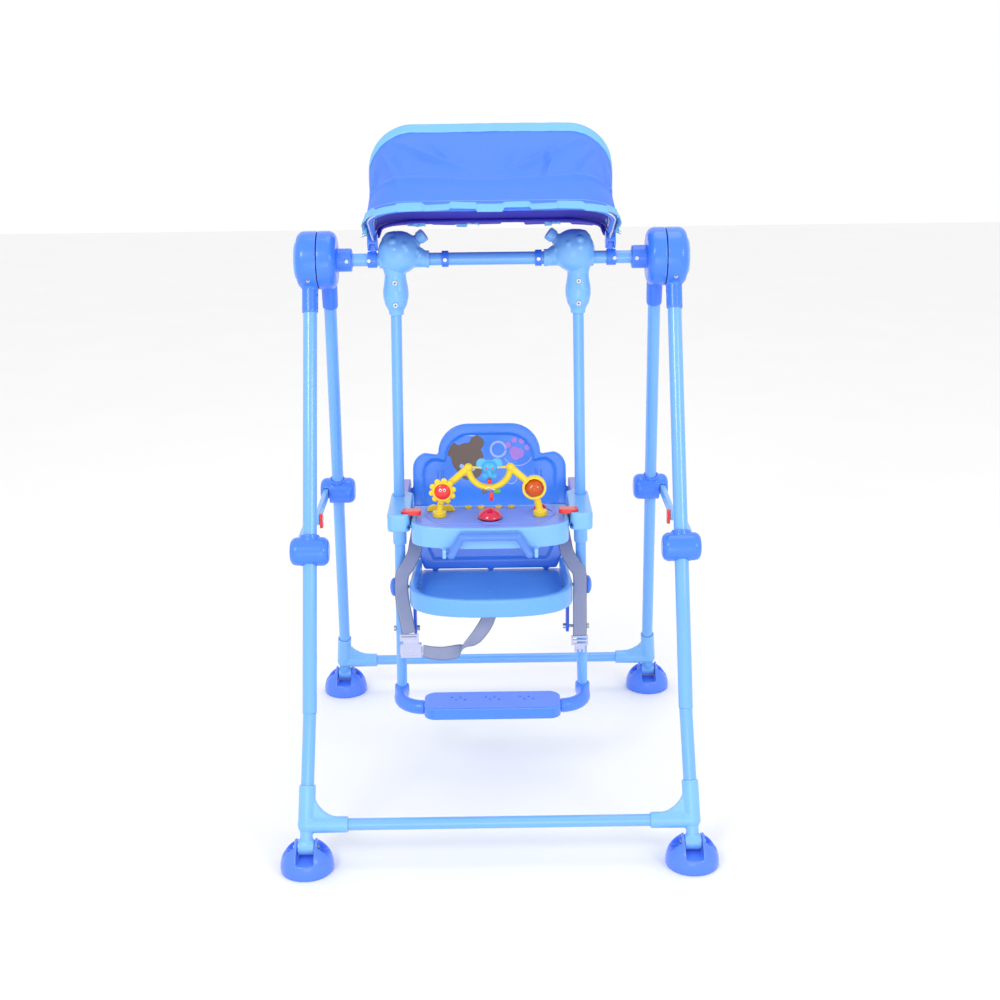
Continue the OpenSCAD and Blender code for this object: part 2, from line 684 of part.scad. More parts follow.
module seat_pan() {
    color(seat_blue) on_swing() difference() {
        translate([0, 0, seat_bottom_z]) linear_extrude(height = seat_h) seat_outline(0);
        translate([0, 0, seat_bottom_z + seat_floor]) linear_extrude(height = seat_h) seat_outline(13);
        translate([0, 0, seat_bottom_z - 1]) difference() {
            linear_extrude(height = seat_h - 4) seat_outline(3.5);
            translate([0, 0, -1]) linear_extrude(height = seat_h + 2) seat_outline(10);
        }
        block(-seat_half_w + 7, seat_half_w - 7, seat_back_y - 8, 130, seat_bottom_z + seat_floor, seat_z + 1);
        for (m = [-1, 1]) x_rod(m * 150 - 25, m * 150 + 25, 0, knob_z, bolt_d + 2 * fit);
        block(-14.5, 14.5, -102, -98, seat_bottom_z - 1, seat_bottom_z + 6);
    }
}
module seat_brackets() {
    color("#1f56d8") on_swing() both_sides() difference() {
        union() {
            block(plate_x - 4, plate_x + 2, -13, 13, brace_bolt_z, seat_bottom_z - fit);
            x_rod(plate_x - 4, plate_x + 2, 0, brace_bolt_z, 22);
        }
        x_rod(100, 200, 0, brace_bolt_z, bolt_d + 2 * fit);
    }
}
module swing_fasteners() {
    outer = pole_x(knob_z) + pole_d / 2;
    color(steel) on_swing() both_sides() {
        x_rod(seat_half_w - 18, outer + 4, 0, knob_z, bolt_d);
        translate([outer + 0.4, 0, knob_z]) rotate([0, 90, 0]) intersection() {
            translate([0, 0, -5]) sphere(d = 26);
            cylinder(r = 13, h = 13);
        }
        x_rod(plate_x - 8, pole_x(brace_bolt_z) + pole_d / 2 + 3, 0, brace_bolt_z, bolt_d);
        x_rod(plate_x - 9, plate_x - 4.2, 0, brace_bolt_z, 10);
        x_rod(pole_x(brace_bolt_z) + pole_d / 2 + 0.4, pole_x(brace_bolt_z) + pole_d / 2 + 4, 0, brace_bolt_z, 10);
        for (z = [-38, -76]) translate([hanger_axis_x, 0, bar_z + z]) rotate([90, 0, 0]) {
            cylinder(d = 4, h = 19);
            translate([0, 0, 18.2]) cylinder(d = 8, h = 2.6);
        }
    }
}
module footrest_board() {
    z0 = footrest_z - 22;
    color(foot_blue) on_swing() difference() {
        translate([0, 0, z0]) linear_extrude(height = 22) rounded_plate(-124, 124, -110, -34, 22);
        translate([0, 0, z0 - 1]) linear_extrude(height = 19) rounded_plate(-121, 121, -107, -37, 19);
        for (x = [-96:6:96]) block(x - 1, x + 1, -98, -46, footrest_z - 1.2, footrest_z + 3);
        for (i = [0:3], m = [-1, 0, 1]) translate([m * 62 - 12 + 8 * i, -60 - 10 * (i % 2), z0]) cylinder(d = 4, h = 40);
    }
}
module footrest_arms() {
    z = footrest_z - 13;
    x = pole_foot_x;
    r = 45.5;
    y = -72 + r;
    color(foot_blue) on_swing() both_sides() difference() {
        union() {
            translate([x, 0, z - 2]) cylinder(d = 27, h = 16);
            translate([x, 0, z - 2]) sphere(d = 27);
            rod([x, 0, z], [x, y, z], 26);
            translate([x - r, y, z]) rotate([0, 0, -90]) rotate_extrude(angle = 90) translate([r, 0]) circle(d = 26);
            block(x - r - 3, x - r + 3, y - r - 9, y - r + 9, z - 8, z + 8);
        }
        pole_bore(z - 2 + 60, pole_end_z - fit);
        block(60, 124 + fit, -120, -20, footrest_z - 40, footrest_z + 20);
    }
}

// ---- Tray ----
module tray_outline(inset) {
    w = tray_half_w - inset;
    front = tray_front - inset + tray_corner_y;
    polygon(concat([[w, tray_back_y - inset], [-w, tray_back_y - inset]], bow(-w, front, tray_corner_y, 2.8, 24)));
}
module tray_shell() {
    color(sky_blue) on_swing() difference() {
        union() {
            translate([0, 0, tray_bottom_z]) linear_extrude(height = tray_h) tray_outline(0);
            both_sides() {
                block(tray_half_w - 4, tray_half_w + 6, -110, -52, rail_z - 2.5, rail_z + 2.5);
                difference() {
                    block(handle_lug_x, handle_lug_x + 7, handle_pivot.y - 6, -tray_front + 24, handle_pivot.z - 6, tray_bottom_z + 4);
                    x_rod(40, 100, handle_pivot.y, handle_pivot.z, 6 + 2 * run);
                }
            }
        }
        translate([0, 0, tray_z - panel_t - fit]) linear_extrude(height = 20) tray_outline(panel_inset);
        translate([0, 0, tray_bottom_z - 1]) linear_extrude(height = tray_h - 2 * skin - panel_t + 1) difference() {
            tray_outline(skin);
            for (m = [-1, 1]) translate([m * (handle_lug_x + 3.5), -tray_front + 14]) square([12, 32], center = true);
        }
        for (x = melody_x) translate([x, melody_y, tray_z - 20]) cylinder(d = 13, h = 40);
        translate([0, dome_pos.y, tray_z - 20]) cylinder(d = 30, h = 40);
    }
}
module tray_panel() {
    color(panel_blue) on_swing() difference() {
        translate([0, 0, tray_z - panel_t]) linear_extrude(height = panel_t) tray_outline(panel_inset + fit);
        for (x = melody_x) translate([x, melody_y, tray_z - 20]) cylinder(d = 13, h = 40);
        translate([0, dome_pos.y, tray_z - 20]) cylinder(d = 30, h = 40);
    }
}
module tray_handle() {
    top = [handle_top_half_w, handle_pivot.y, tray_z - 12];
    foot_end = [handle_half_w, handle_pivot.y, handle_pivot.z];
    color("#6fa8ff") on_swing() {
        x_rod(-top.x, top.x, top.y, top.z, handle_d);
        both_sides() {
            translate(top) sphere(d = handle_d + 0.8);
            rod(top, foot_end, handle_d - 0.6);
            translate(foot_end) sphere(d = handle_d + 0.8);
            x_rod(handle_half_w, handle_lug_x + 6.5, handle_pivot.y, handle_pivot.z, 6);
        }
    }
}
module lock_button(side) {
    color(toy_red) on_swing() mirror([side < 0 ? 1 : 0, 0, 0]) {
        translate([0, 0, arm_z - 4]) linear_extrude(height = 8) rounded_plate(119, 152.5, -113.5, -94.5, 5.5);
        translate([0, 0, arm_z - 8]) linear_extrude(height = 5) rounded_plate(arm_inner_x + 2, 152.5, -113.5, -94.5, 5.5);
    }
}
module lock_button_left() {
    lock_button(-1);
}
module lock_button_right() {
    lock_button(1);
}

// ---- Toy arch ----
module toy_arch() {
    left_joint = [flower_pos.x, toy_y, flower_pos.z];
    right_joint = dial_pos;
    color(toy_yellow) on_swing() difference() {
        union() {
            for (m = [-1, 1]) {
                joint = m < 0 ? left_joint : right_joint;
                peak = [m * arch_peak.x, arch_peak.y, arch_peak.z];
                translate([m * arch_base_x, toy_y, tray_z + 0.1]) cylinder(d = 24, h = 10);
                rod([m * arch_base_x, toy_y, tray_z + 5], joint, arch_d);
                translate(joint) sphere(d = arch_d + 1);
                rod(joint, peak, arch_d - 0.4);
                translate(peak) sphere(d = 15);
                if (m > 0) difference() {
                    translate([dial_pos.x, toy_y + 7, dial_pos.z]) rotate([90, 0, 0]) cylinder(r = 21, h = 14);
                    translate([dial_pos.x, toy_y + 8, dial_pos.z]) rotate([90, 0, 0]) cylinder(r = 16.2, h = 16);
                }
            }
            translate([0, toy_y, arch_peak.z]) rotate([90, 0, 0]) rotate([0, 0, 180]) rotate_extrude(angle = 180)
                translate([arch_peak.x, 0]) circle(d = 11);
            for (x = [-98.5, -73]) translate([x, -66, tray_z + 0.1]) rotate([90, 0, 0]) intersection() {
                cylinder(r = 12, h = 6);
                block(-20, 20, 0, 20, -1, 8);
            }
            x_rod(-32, 32, toy_y, arch_peak.z, rod_d);
        }
        translate([flower_pos.x, toy_y - 20, flower_pos.z]) rotate([-90, 0, 0]) cylinder(d = 4 + 2 * run, h = 40);
        translate(dial_pos) sphere(r = 15.9);
        x_rod(dial_pos.x - 17.6, dial_pos.x + 17.6, toy_y, dial_pos.z, 4 + 2 * run);
    }
}
module sunflower() {
    color(toy_yellow) on_swing() translate([flower_pos.x, toy_y - arch_d / 2 - 1.5, flower_pos.z]) rotate([90, 0, 0]) {
        rotate_extrude() polygon([[0, -12], [2, -12], [2, 0], [17.4, 0], [17.4, 7], [14.5, 7], [14.5, 10], [0, 10]]);
        for (i = [0:10]) rotate([0, 0, 360 / 11 * i + 4]) translate([18.6, 0, 0.5]) cylinder(r = 5, h = 4.5);
    }
}
module toy_dial() {
    color("#f47a1f") on_swing() {
        translate(dial_pos) sphere(r = 15.4);
        x_rod(dial_pos.x - 17.3, dial_pos.x + 17.3, toy_y, dial_pos.z, 4);
    }
}
module spinner_toy() {
    color(sky_blue) on_swing() translate([0, toy_y, arch_peak.z]) difference() {
        union() {
            sphere(r = 13);
            for (m = [-1, 1]) {
                translate([m * 13, 3, 6]) rotate([90, 0, 0]) cylinder(r = 9.5, h = 5);
                translate([m * 7, -3, -15]) sphere(r = 6);
            }
            translate([0, 0, -11]) sphere(r = 9);
            translate([0, -14, -6]) sphere(r = 4.5);
        }
        x_rod(-40, 40, 0, 0, rod_d + 2 * run);
    }
}
module dome_button() {
    color(toy_red) on_swing() translate([0, dome_pos.y, tray_z + 4]) {
        intersection() {
            translate([0, 0, -6]) sphere(r = 22.3);
            cylinder(r = 21.5, h = 20);
        }
        translate([0, 0, -9]) cylinder(d = 29.5, h = 10);
    }
}
module melody_button(i) {
    color(toy_yellow) on_swing() translate([melody_x[i], melody_y, tray_z - 4]) cylinder(d = 12.6, h = 7);
}
module melody_button_1() {
    melody_button(0);
}
module melody_button_2() {
    melody_button(1);
}
module melody_button_3() {
    melody_button(2);
}
module melody_button_4() {
    melody_button(3);
}

// ---- Harness ----
strap_w = 25;
strap_t = 1.6;
// A flat strap: a rectangle swept along points, its width along the side direction at each of them
module strap(pts, sides) {
    n = len(pts);
    tangent = [for (i = [0:n - 1]) let (v = pts[min(i + 1, n - 1)] - pts[max(i - 1, 0)]) v / norm(v)];
    across = [for (i = [0:n - 1]) let (s = sides[i] - (sides[i] * tangent[i]) * tangent[i]) s / norm(s)];
    up = [for (i = [0:n - 1]) cross(tangent[i], across[i])];
    ring = [for (i = [0:n - 1]) for (c = [[-1, -1], [1, -1], [1, 1], [-1, 1]])
        pts[i] + c.x * strap_w / 2 * across[i] + c.y * strap_t / 2 * up[i]];
    walls = [for (i = [0:n - 2], k = [0:3]) let (a = 4 * i + k, b = 4 * i + (k + 1) % 4)
        for (t = [[a, b, b + 4], [a, b + 4, a + 4]]) t];
    ends = [[0, 2, 1], [0, 3, 2], [4 * n - 4, 4 * n - 3, 4 * n - 2], [4 * n - 4, 4 * n - 2, 4 * n - 1]];
    polyhedron(points = ring, faces = [for (f = concat(walls, ends)) [f[2], f[1], f[0]]]);
}
// Path of the right shoulder strap, from the backrest past the pole and down beside the seat
right_strap = [[128, 117, 484], [129, 96, 476], [131, 70, 468], [133, 40, 459], [135.5, 8, 447], [139, -13, 432],
    [150, -26, 414], [160.5, -31, 396], [161, -32, 350], [161.5, -31, 310], [161.5, -29.5, 276]];
left_strap = [[-128, 117, 484], [-129, 96, 476], [-131, 70, 468], [-133, 40, 459], [-135.5, 8, 447], [-139, -13, 432],
    [-150, -26, 414], [-160.5, -32, 396], [-161, -38, 358], [-155, -48, 326], [-149, -58, 296]];
crotch_strap = [[0, -100, 358], [-8, -101, 334], [-20, -101, 314], [-36, -96, 293], [-56, -88, 275], [-80, -78, 265],
    [-104, -69, 262], [-124, -62, 263]];
module harness_straps() {
    color(webbing) on_swing() {
        strap(right_strap, [for (p = right_strap) [1, 0, 0]]);
        strap(left_strap, [for (p = left_strap) [1, 0.15, 0]]);
        strap(crotch_strap, [for (i = [0:7]) i < 3 ? [1, 0, 0] : [cos(20 * (i - 2)), 0, sin(20 * (i - 2))]]);
    }
}
module harness_buckles() {
    color("#c5c9e8") on_swing() {
        block(146, 177, -34, -25, 258, 275.7);
        block(151, 172, -33, -26, 243, 257.9);
        block(-166, -132, -64, -54, 282, 295);
        block(-167, -125, -66, -52, 249, 281.9);
    }
}

top_bar();
stop_collars();
inner_housings();
rear_legs();
rear_hubs();
rear_corners();
rear_floor_bar();
canopy_clamps();
rear_fasteners();
outer_housings();
housing_caps();
front_legs();
front_lower_legs();
front_hubs();
front_corners();
front_floor_bar();
front_fasteners();
foot_front_left();
foot_front_right();
foot_rear_left();
foot_rear_right();
brace_rear_left();
brace_rear_right();
brace_front_left();
brace_front_right();
brace_latch_left();
brace_latch_right();
canopy_cloth();
canopy_hubs();
canopy_hoops();
hanger_front_shells();
hanger_rear_shells();
hanger_knob_left();
hanger_knob_right();
swing_poles();
armrests();
back_brackets();
backrest();
seat_pan();
seat_brackets();
footrest_board();
footrest_arms();
swing_fasteners();
tray_shell();
tray_panel();
tray_handle();
lock_button_left();
lock_button_right();
toy_arch();
sunflower();
toy_dial();
spinner_toy();
dome_button();
melody_button_1();
melody_button_2();
melody_button_3();
melody_button_4();
harness_straps();
harness_buckles();
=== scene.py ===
"""Looks of a folding baby swing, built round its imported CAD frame.

Everything is in metres, in the frame's own axes, unless a name or a comment says millimetres.
"""

import json
import math
import random

import bmesh
import bpy
import numpy as np
from mathutils import Matrix, Vector, noise

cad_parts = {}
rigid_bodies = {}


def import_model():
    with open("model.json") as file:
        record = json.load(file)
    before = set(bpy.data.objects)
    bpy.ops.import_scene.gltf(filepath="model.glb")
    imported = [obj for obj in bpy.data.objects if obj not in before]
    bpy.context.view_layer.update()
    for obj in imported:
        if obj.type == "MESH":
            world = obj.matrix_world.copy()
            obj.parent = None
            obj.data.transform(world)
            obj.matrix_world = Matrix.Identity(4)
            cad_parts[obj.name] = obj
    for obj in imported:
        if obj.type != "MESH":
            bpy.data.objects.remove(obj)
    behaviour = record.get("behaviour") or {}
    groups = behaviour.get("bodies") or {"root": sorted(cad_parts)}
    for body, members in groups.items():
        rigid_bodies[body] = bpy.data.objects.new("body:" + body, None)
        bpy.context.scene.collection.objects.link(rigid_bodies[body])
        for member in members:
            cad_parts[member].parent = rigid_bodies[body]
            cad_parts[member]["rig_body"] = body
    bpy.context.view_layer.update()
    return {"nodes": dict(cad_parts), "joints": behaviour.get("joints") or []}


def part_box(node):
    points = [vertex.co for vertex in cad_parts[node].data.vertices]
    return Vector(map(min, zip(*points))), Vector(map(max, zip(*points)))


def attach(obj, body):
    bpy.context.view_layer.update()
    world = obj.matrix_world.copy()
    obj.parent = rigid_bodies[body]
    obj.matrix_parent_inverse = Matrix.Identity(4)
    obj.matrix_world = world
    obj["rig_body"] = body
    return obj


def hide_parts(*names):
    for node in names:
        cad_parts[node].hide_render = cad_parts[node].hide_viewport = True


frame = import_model()
noise.seed_set(1)  # without a fixed seed, noise vectors differ from run to run

MM = 0.001
JOINT = {j["name"]: j for j in frame["joints"]}
SWING_X = JOINT["tray_handle_hinge"]["pos_m"][0]
BAR_Z = JOINT["swing_hinge"]["pos_m"][2]
TRAY_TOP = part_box("tray_panel")[1].z


# ---- Camera and light ----
def camera(lens=53.86, place=(-0.0071, -2.5811, 1.3037), pitch=16.72, yaw=0.366, roll=0.655):
    """The camera stands in front, a little above the top bar, and looks slightly down."""
    p, y, r = (math.radians(a) for a in (pitch, yaw, roll))
    ahead = Vector((math.sin(y) * math.cos(p), math.cos(y) * math.cos(p), -math.sin(p)))
    right = Vector((math.cos(y), -math.sin(y), 0))
    down = ahead.cross(right)
    side = math.cos(r) * right + math.sin(r) * down
    low = -math.sin(r) * right + math.cos(r) * down
    cam = bpy.data.objects.new("camera", bpy.data.cameras.new("camera"))
    cam.data.lens, cam.data.sensor_width = lens, 36
    cam.data.clip_start, cam.data.clip_end = 0.05, 60
    axes = Matrix((side, -low, -ahead)).transposed().to_4x4()
    cam.matrix_world = Matrix.Translation(place) @ axes
    bpy.context.scene.collection.objects.link(cam)
    bpy.context.scene.camera = cam


def area_light(name, place, aim, size, power):
    lamp = bpy.data.objects.new(name, bpy.data.lights.new(name, "AREA"))
    lamp.data.shape, lamp.data.size, lamp.data.energy = "SQUARE", size, power
    lamp.location = place
    lamp.rotation_euler = (Vector(aim) - Vector(place)).to_track_quat("-Z", "Y").to_euler()
    bpy.context.scene.collection.objects.link(lamp)


def studio():
    """Even white surroundings with soft lamps. The plain view keeps the plastics as vivid as they are."""
    bpy.context.scene.view_settings.view_transform = "Standard"
    world = bpy.context.scene.world or bpy.data.worlds.new("studio")
    bpy.context.scene.world = world
    world.use_nodes = True
    sky = world.node_tree.nodes["Background"]
    sky.inputs["Color"].default_value = (1, 1, 1, 1)
    sky.inputs["Strength"].default_value = 1.0
    area_light("key_light", (-1.5, -2.6, 2.6), (0, 0, 0.6), 0.9, 27)
    area_light("fill_light", (2.0, -2.4, 1.9), (0, 0, 0.6), 0.9, 15)
    area_light("low_light", (0.0, -2.6, 0.35), (0, 0, 0.45), 1.2, 9)
    area_light("top_light", (0.3, 0.4, 3.2), (0, 0, 0.6), 1.4, 9)


# ---- Small tools ----
PIGMENT = 0.93


def colour(code):
    """A #rrggbb paint code as the linear colour that shaders use, a little under full strength."""
    parts = [int(code[i : i + 2], 16) / 255 for i in (1, 3, 5)]
    return tuple(PIGMENT * (c / 12.92 if c <= 0.04045 else ((c + 0.055) / 1.055) ** 2.4) for c in parts)


def shaded(rgb, factor):
    """A lighter or darker tone of a linear colour."""
    return tuple(min(1.0, c * factor) for c in rgb)


def add_object(name, mesh):
    """Puts a mesh in the scene as a piece at the origin."""
    piece = bpy.data.objects.new(name, mesh)
    bpy.context.scene.collection.objects.link(piece)
    return piece


def settle(piece):
    """Turns the evaluated piece into a plain mesh, so that no modifier is left on it."""
    bpy.context.view_layer.update()
    mesh = bpy.data.meshes.new_from_object(piece.evaluated_get(bpy.context.evaluated_depsgraph_get()))
    piece.modifiers.clear()
    piece.data = mesh
    return piece


def dress(piece, material, body, replaces=(), smooth=True):
    """Gives a piece its material and its body, and hides the CAD nodes that it stands for."""
    if material is not None:
        piece.data.materials.clear()
        piece.data.materials.append(material)
    if smooth:
        piece.data.polygons.foreach_set("use_smooth", [True] * len(piece.data.polygons))
    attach(piece, body)
    if replaces:
        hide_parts(*replaces)
    return piece


def sheet_mesh(name, rows, uvs=None, loop=False):
    """A mesh of quads through rows of points. uvs has the same layout, in metres along the cloth."""
    wide = len(rows[0])
    points = [tuple(p) for row in rows for p in row]
    faces, corners = [], []
    for i in range(len(rows) - 1):
        for j in range(wide if loop else wide - 1):
            k = (j + 1) % wide
            faces.append((i * wide + j, i * wide + k, (i + 1) * wide + k, (i + 1) * wide + j))
    mesh = bpy.data.meshes.new(name)
    mesh.from_pydata(points, [], faces)
    if uvs is not None:
        flat = [uv for row in uvs for uv in row]
        layer = mesh.uv_layers.new(name="UVMap")
        for face in mesh.polygons:
            for c in face.loop_indices:
                layer.data[c].uv = flat[mesh.loops[c].vertex_index]
    return mesh


def curve_through(points, steps):
    """A smooth line through a few points, with steps parts between one and the next."""
    pts = [Vector(p) for p in points]
    ends = [2 * pts[0] - pts[1]] + pts + [2 * pts[-1] - pts[-2]]
    line = []
    for i in range(1, len(ends) - 2):
        a, b, c, d = ends[i - 1 : i + 3]
        for k in range(steps):
            t = k / steps
            square, cube = (2 * a - 5 * b + 4 * c - d) * t * t, (3 * b - a - 3 * c + d) * t**3
            line.append(0.5 * (2 * b + (c - a) * t + square + cube))
    return line + [pts[-1]]


def closed(mesh, merge=0.0):
    """Caps a tube's ends and turns its faces outwards. Points nearer than merge are joined first."""
    bm = bmesh.new()
    bm.from_mesh(mesh)
    if merge:
        bmesh.ops.remove_doubles(bm, verts=bm.verts, dist=merge)
    bmesh.ops.holes_fill(bm, edges=[e for e in bm.edges if e.is_boundary], sides=0)
    bmesh.ops.recalc_face_normals(bm, faces=bm.faces)
    bm.to_mesh(mesh)
    bm.free()
    return mesh


def piping(name, line, radius, sides=12):
    """A closed tube along a line of points, with its UV map in metres."""
    rows, uvs, up, run = [], [], None, 0.0
    for i, p in enumerate(line):
        ahead = (line[min(i + 1, len(line) - 1)] - line[max(i - 1, 0)]).normalized()
        if up is None:
            up = Vector((0, 0, 1)) if abs(ahead.z) < 0.9 else Vector((0, 1, 0))
        up = (up - up.dot(ahead) * ahead).normalized()
        across = ahead.cross(up)
        turn = [2 * math.pi * k / sides for k in range(sides)]
        run += (p - line[i - 1]).length if i else 0.0
        rows.append([p + radius * (math.cos(a) * across + math.sin(a) * up) for a in turn])
        uvs.append([(abs(a - math.pi) * radius, run) for a in turn])
    return closed(sheet_mesh(name, rows, uvs, loop=True))


def ball(bm, centre, size):
    """Adds an ellipsoid. size is its radius, or its radius along each axis."""
    size = (size,) * 3 if isinstance(size, (int, float)) else size
    place = Matrix.Translation(centre) @ Matrix.Diagonal((*size, 1))
    bmesh.ops.create_uvsphere(bm, u_segments=28, v_segments=18, radius=1, matrix=place)


def block(bm, low, high):
    """Adds a box between two corners."""
    low, high = Vector(low), Vector(high)
    place = Matrix.Translation((low + high) / 2) @ Matrix.Diagonal((*(high - low), 1))
    bmesh.ops.create_cube(bm, size=1, matrix=place)


def rod(bm, start, end, radius):
    """Adds a cylinder from start to end."""
    start, end = Vector(start), Vector(end)
    line = end - start
    place = Matrix.Translation((start + end) / 2) @ line.to_track_quat("Z", "Y").to_matrix().to_4x4()
    sizes = {"segments": 28, "radius1": radius, "radius2": radius, "depth": line.length}
    bmesh.ops.create_cone(bm, cap_ends=True, matrix=place, **sizes)


def cast(piece, grain, rounds):
    """Fuses what overlaps and rounds the edges, as on a piece out of a mould. grain is the mesh size."""
    fuse = piece.modifiers.new("fuse", "REMESH")
    fuse.mode, fuse.voxel_size = "VOXEL", grain
    soften = piece.modifiers.new("soften", "SMOOTH")
    soften.factor, soften.iterations = 0.5, rounds
    return settle(piece)


def fused(name, bm, grain, rounds):
    """A piece cast from the shapes gathered in bm."""
    mesh = bpy.data.meshes.new(name)
    bm.to_mesh(mesh)
    bm.free()
    return cast(add_object(name, mesh), grain, rounds)


def moulded(node, material, grain, rounds):
    """A rounded copy of a CAD node in its own body, shown in the node's place."""
    source = frame["nodes"][node]
    mesh = source.data.copy()
    bm = bmesh.new()
    bm.from_mesh(mesh)
    bmesh.ops.remove_doubles(bm, verts=bm.verts, dist=1e-6)
    bm.to_mesh(mesh)
    bm.free()
    piece = cast(add_object(node + "_moulded", mesh), grain, rounds)
    return dress(piece, material, source["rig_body"], [node])


def carried_over(node, material):
    """Gives a finish to a CAD node whose shape is shown as it is."""
    data = frame["nodes"][node].data
    data.materials.clear()
    data.materials.append(material)


# ---- Node graphs ----
class Value:
    """One output in a node graph. Arithmetic on it adds Math nodes."""

    def __init__(self, graph, socket):
        self.graph, self.socket = graph, socket

    def math(self, operation, *others):
        return self.graph.add("ShaderNodeMath", {"operation": operation}, dict(enumerate((self, *others))))

    def __add__(self, other):
        return self.math("ADD", other)

    def __sub__(self, other):
        return self.math("SUBTRACT", other)

    def __rsub__(self, other):
        return self.graph.add("ShaderNodeMath", {"operation": "SUBTRACT"}, {0: other, 1: self})

    def __mul__(self, other):
        return self.math("MULTIPLY", other)

    __radd__, __rmul__ = __add__, __mul__


class Graph:
    """Adds nodes to a shader or geometry tree."""

    def __init__(self, tree):
        self.tree = tree

    def add(self, kind, settings=None, sockets=None, out=0):
        node = self.tree.nodes.new(kind)
        for name, value in (settings or {}).items():
            setattr(node, name, value)
        for key, value in (sockets or {}).items():
            self.feed(node.inputs[key], value)
        return Value(self, node.outputs[out])

    def feed(self, socket, value):
        if isinstance(value, Value):
            self.tree.links.new(value.socket, socket)
        elif value is not None:
            socket.default_value = value


class Finish(Graph):
    """A material. Its surface is one Principled shader."""

    def __init__(self, name, **constants):
        self.material = bpy.data.materials.new(name)
        self.material.use_nodes = True
        super().__init__(self.material.node_tree)
        self.shell = self.tree.nodes["Principled BSDF"]
        self.shell.inputs["Specular IOR Level"].default_value = 0.5
        for key, value in constants.items():
            self.shell.inputs[key.replace("_", " ")].default_value = value
        self.place = self.add("ShaderNodeTexCoord", out="Object")

    def cloud(self, scale, detail=2.0, stretch=(1, 1, 1)):
        """Noise from 0 to 1. scale is in waves per metre."""
        where = self.add("ShaderNodeMapping", None, {"Vector": self.place, "Scale": stretch})
        return self.add("ShaderNodeTexNoise", None, {"Vector": where, "Scale": scale, "Detail": detail})

    def between(self, low, high, mask):
        """A number that goes from low to high as mask goes from 0 to 1."""
        return low + (high - low) * mask

    def tint(self, first, second, mask):
        """A colour that goes from first to second as mask goes from 0 to 1."""
        start = first if isinstance(first, Value) else (*first, 1)
        return self.add("ShaderNodeMix", {"data_type": "RGBA"}, {0: mask, 6: start, 7: (*second, 1)}, out=2)

    def threshold(self, value, low, high):
        """0 below low, 1 above high, and a slope between."""
        return self.add("ShaderNodeMapRange", None, {"Value": value, "From Min": low, "From Max": high})

    def paint(self, base, roughness):
        self.feed(self.shell.inputs["Base Color"], base)
        self.feed(self.shell.inputs["Roughness"], roughness)

    def cloth_axes(self):
        """The distance across and along the cloth, in metres, from the piece's UV map."""
        across = self.add("ShaderNodeSeparateXYZ", None, {0: self.add("ShaderNodeTexCoord", out="UV")})
        return across, Value(self, across.socket.node.outputs[1])

    def wave(self, distance, pitch):
        """A sine that repeats with a pitch in metres."""
        return (distance * (2 * math.pi / pitch)).math("SINE")

    def relief(self, height, depth):
        """Bump. depth is the real height of the relief, in metres."""
        bump = self.add("ShaderNodeBump", None, {"Height": height, "Distance": depth, "Strength": 1.0})
        self.feed(self.shell.inputs["Normal"], bump)


def tube_paint(name, code):
    """Powder paint on steel tube: orange peel, faint drawn scratches and a little dust."""
    f = Finish(name, Coat_Weight=0.35, Coat_Roughness=0.08)
    rgb = colour(code)
    drift = f.cloud(9, 3)
    scratches = f.threshold(f.cloud(700, 1, (1, 1, 0.03)), 0.66, 0.72)
    base = f.tint(shaded(rgb, 0.96), shaded(rgb, 1.04), drift)
    base = f.tint(base, shaded(rgb, 1.2), scratches * 0.2)
    f.paint(base, f.between(0.14, 0.22, f.cloud(60, 2)) + scratches * 0.08)
    f.relief(f.cloud(520, 1) * 0.6 - scratches * 0.4, 0.00003)
    return f.material


def plastic(name, code, rough=0.22, drift_size=14, grain=0.00004, dark=0.9, light=1.06, coat=0.15):
    """Moulded plastic: slow colour drift, fine skin texture, a painted highlight that lightens sharp edges,
    which are also a little rougher, and greasy patches in the gloss.
    """
    f = Finish(name, Coat_Weight=coat, Coat_Roughness=0.1)
    rgb = colour(code)
    edge = f.threshold(f.add("ShaderNodeNewGeometry", out="Pointiness"), 0.52, 0.6)
    base = f.tint(shaded(rgb, dark), shaded(rgb, light), f.cloud(drift_size, 3))
    # Painted highlight: sharp edges are lightened towards white, as if they caught the light
    base = f.tint(base, tuple(c + (1 - c) * 0.35 for c in rgb), edge * 0.4)
    f.paint(base, f.between(rough - 0.05, rough + 0.1, f.cloud(45, 4)) + edge * 0.06)
    f.relief(f.cloud(1500, 2) + f.cloud(110, 1) * 0.8, grain)
    return f.material


def clear_plastic(name, code, clarity):
    """See-through tinted plastic with flow lines."""
    f = Finish(name, Transmission_Weight=clarity, IOR=1.49)
    rgb = colour(code)
    f.paint(f.tint(shaded(rgb, 0.9), shaded(rgb, 1.1), f.cloud(30, 2)), f.between(0.08, 0.22, f.cloud(80, 3)))
    f.relief(f.cloud(260, 2, (1, 1, 0.3)), 0.00008)
    return f.material


def bright_steel(name):
    """Plated steel with cloudy brightness."""
    f = Finish(name, Metallic=1.0)
    base = f.tint((0.3, 0.32, 0.35), (0.55, 0.57, 0.6), f.cloud(300, 3))
    f.paint(base, f.between(0.18, 0.4, f.cloud(900, 2)))
    f.relief(f.cloud(2500, 1), 0.00003)
    return f.material


def woven(name, code, thread, sheen=0.25, crease=0.0, dark=0.86, light=1.08):
    """Plain weave over the piece's own UV map, which is in metres. thread is the pitch of the yarn."""
    f = Finish(name, Sheen_Weight=sheen, Sheen_Roughness=0.4)
    rgb = colour(code)
    across, along = f.cloth_axes()
    weave = f.wave(across, thread) * f.wave(along, thread) * 0.5 + 0.5
    drift = f.cloud(22, 4)
    folds = f.cloud(38, 3, (1, 1, 0.5))
    base = f.tint(shaded(rgb, dark), shaded(rgb, light), drift * 0.6 + weave * 0.4)
    f.paint(base, f.between(0.42, 0.62, drift))
    f.relief(weave * 0.12 + folds * crease, 0.0009 if crease else 0.0002)
    return f.material


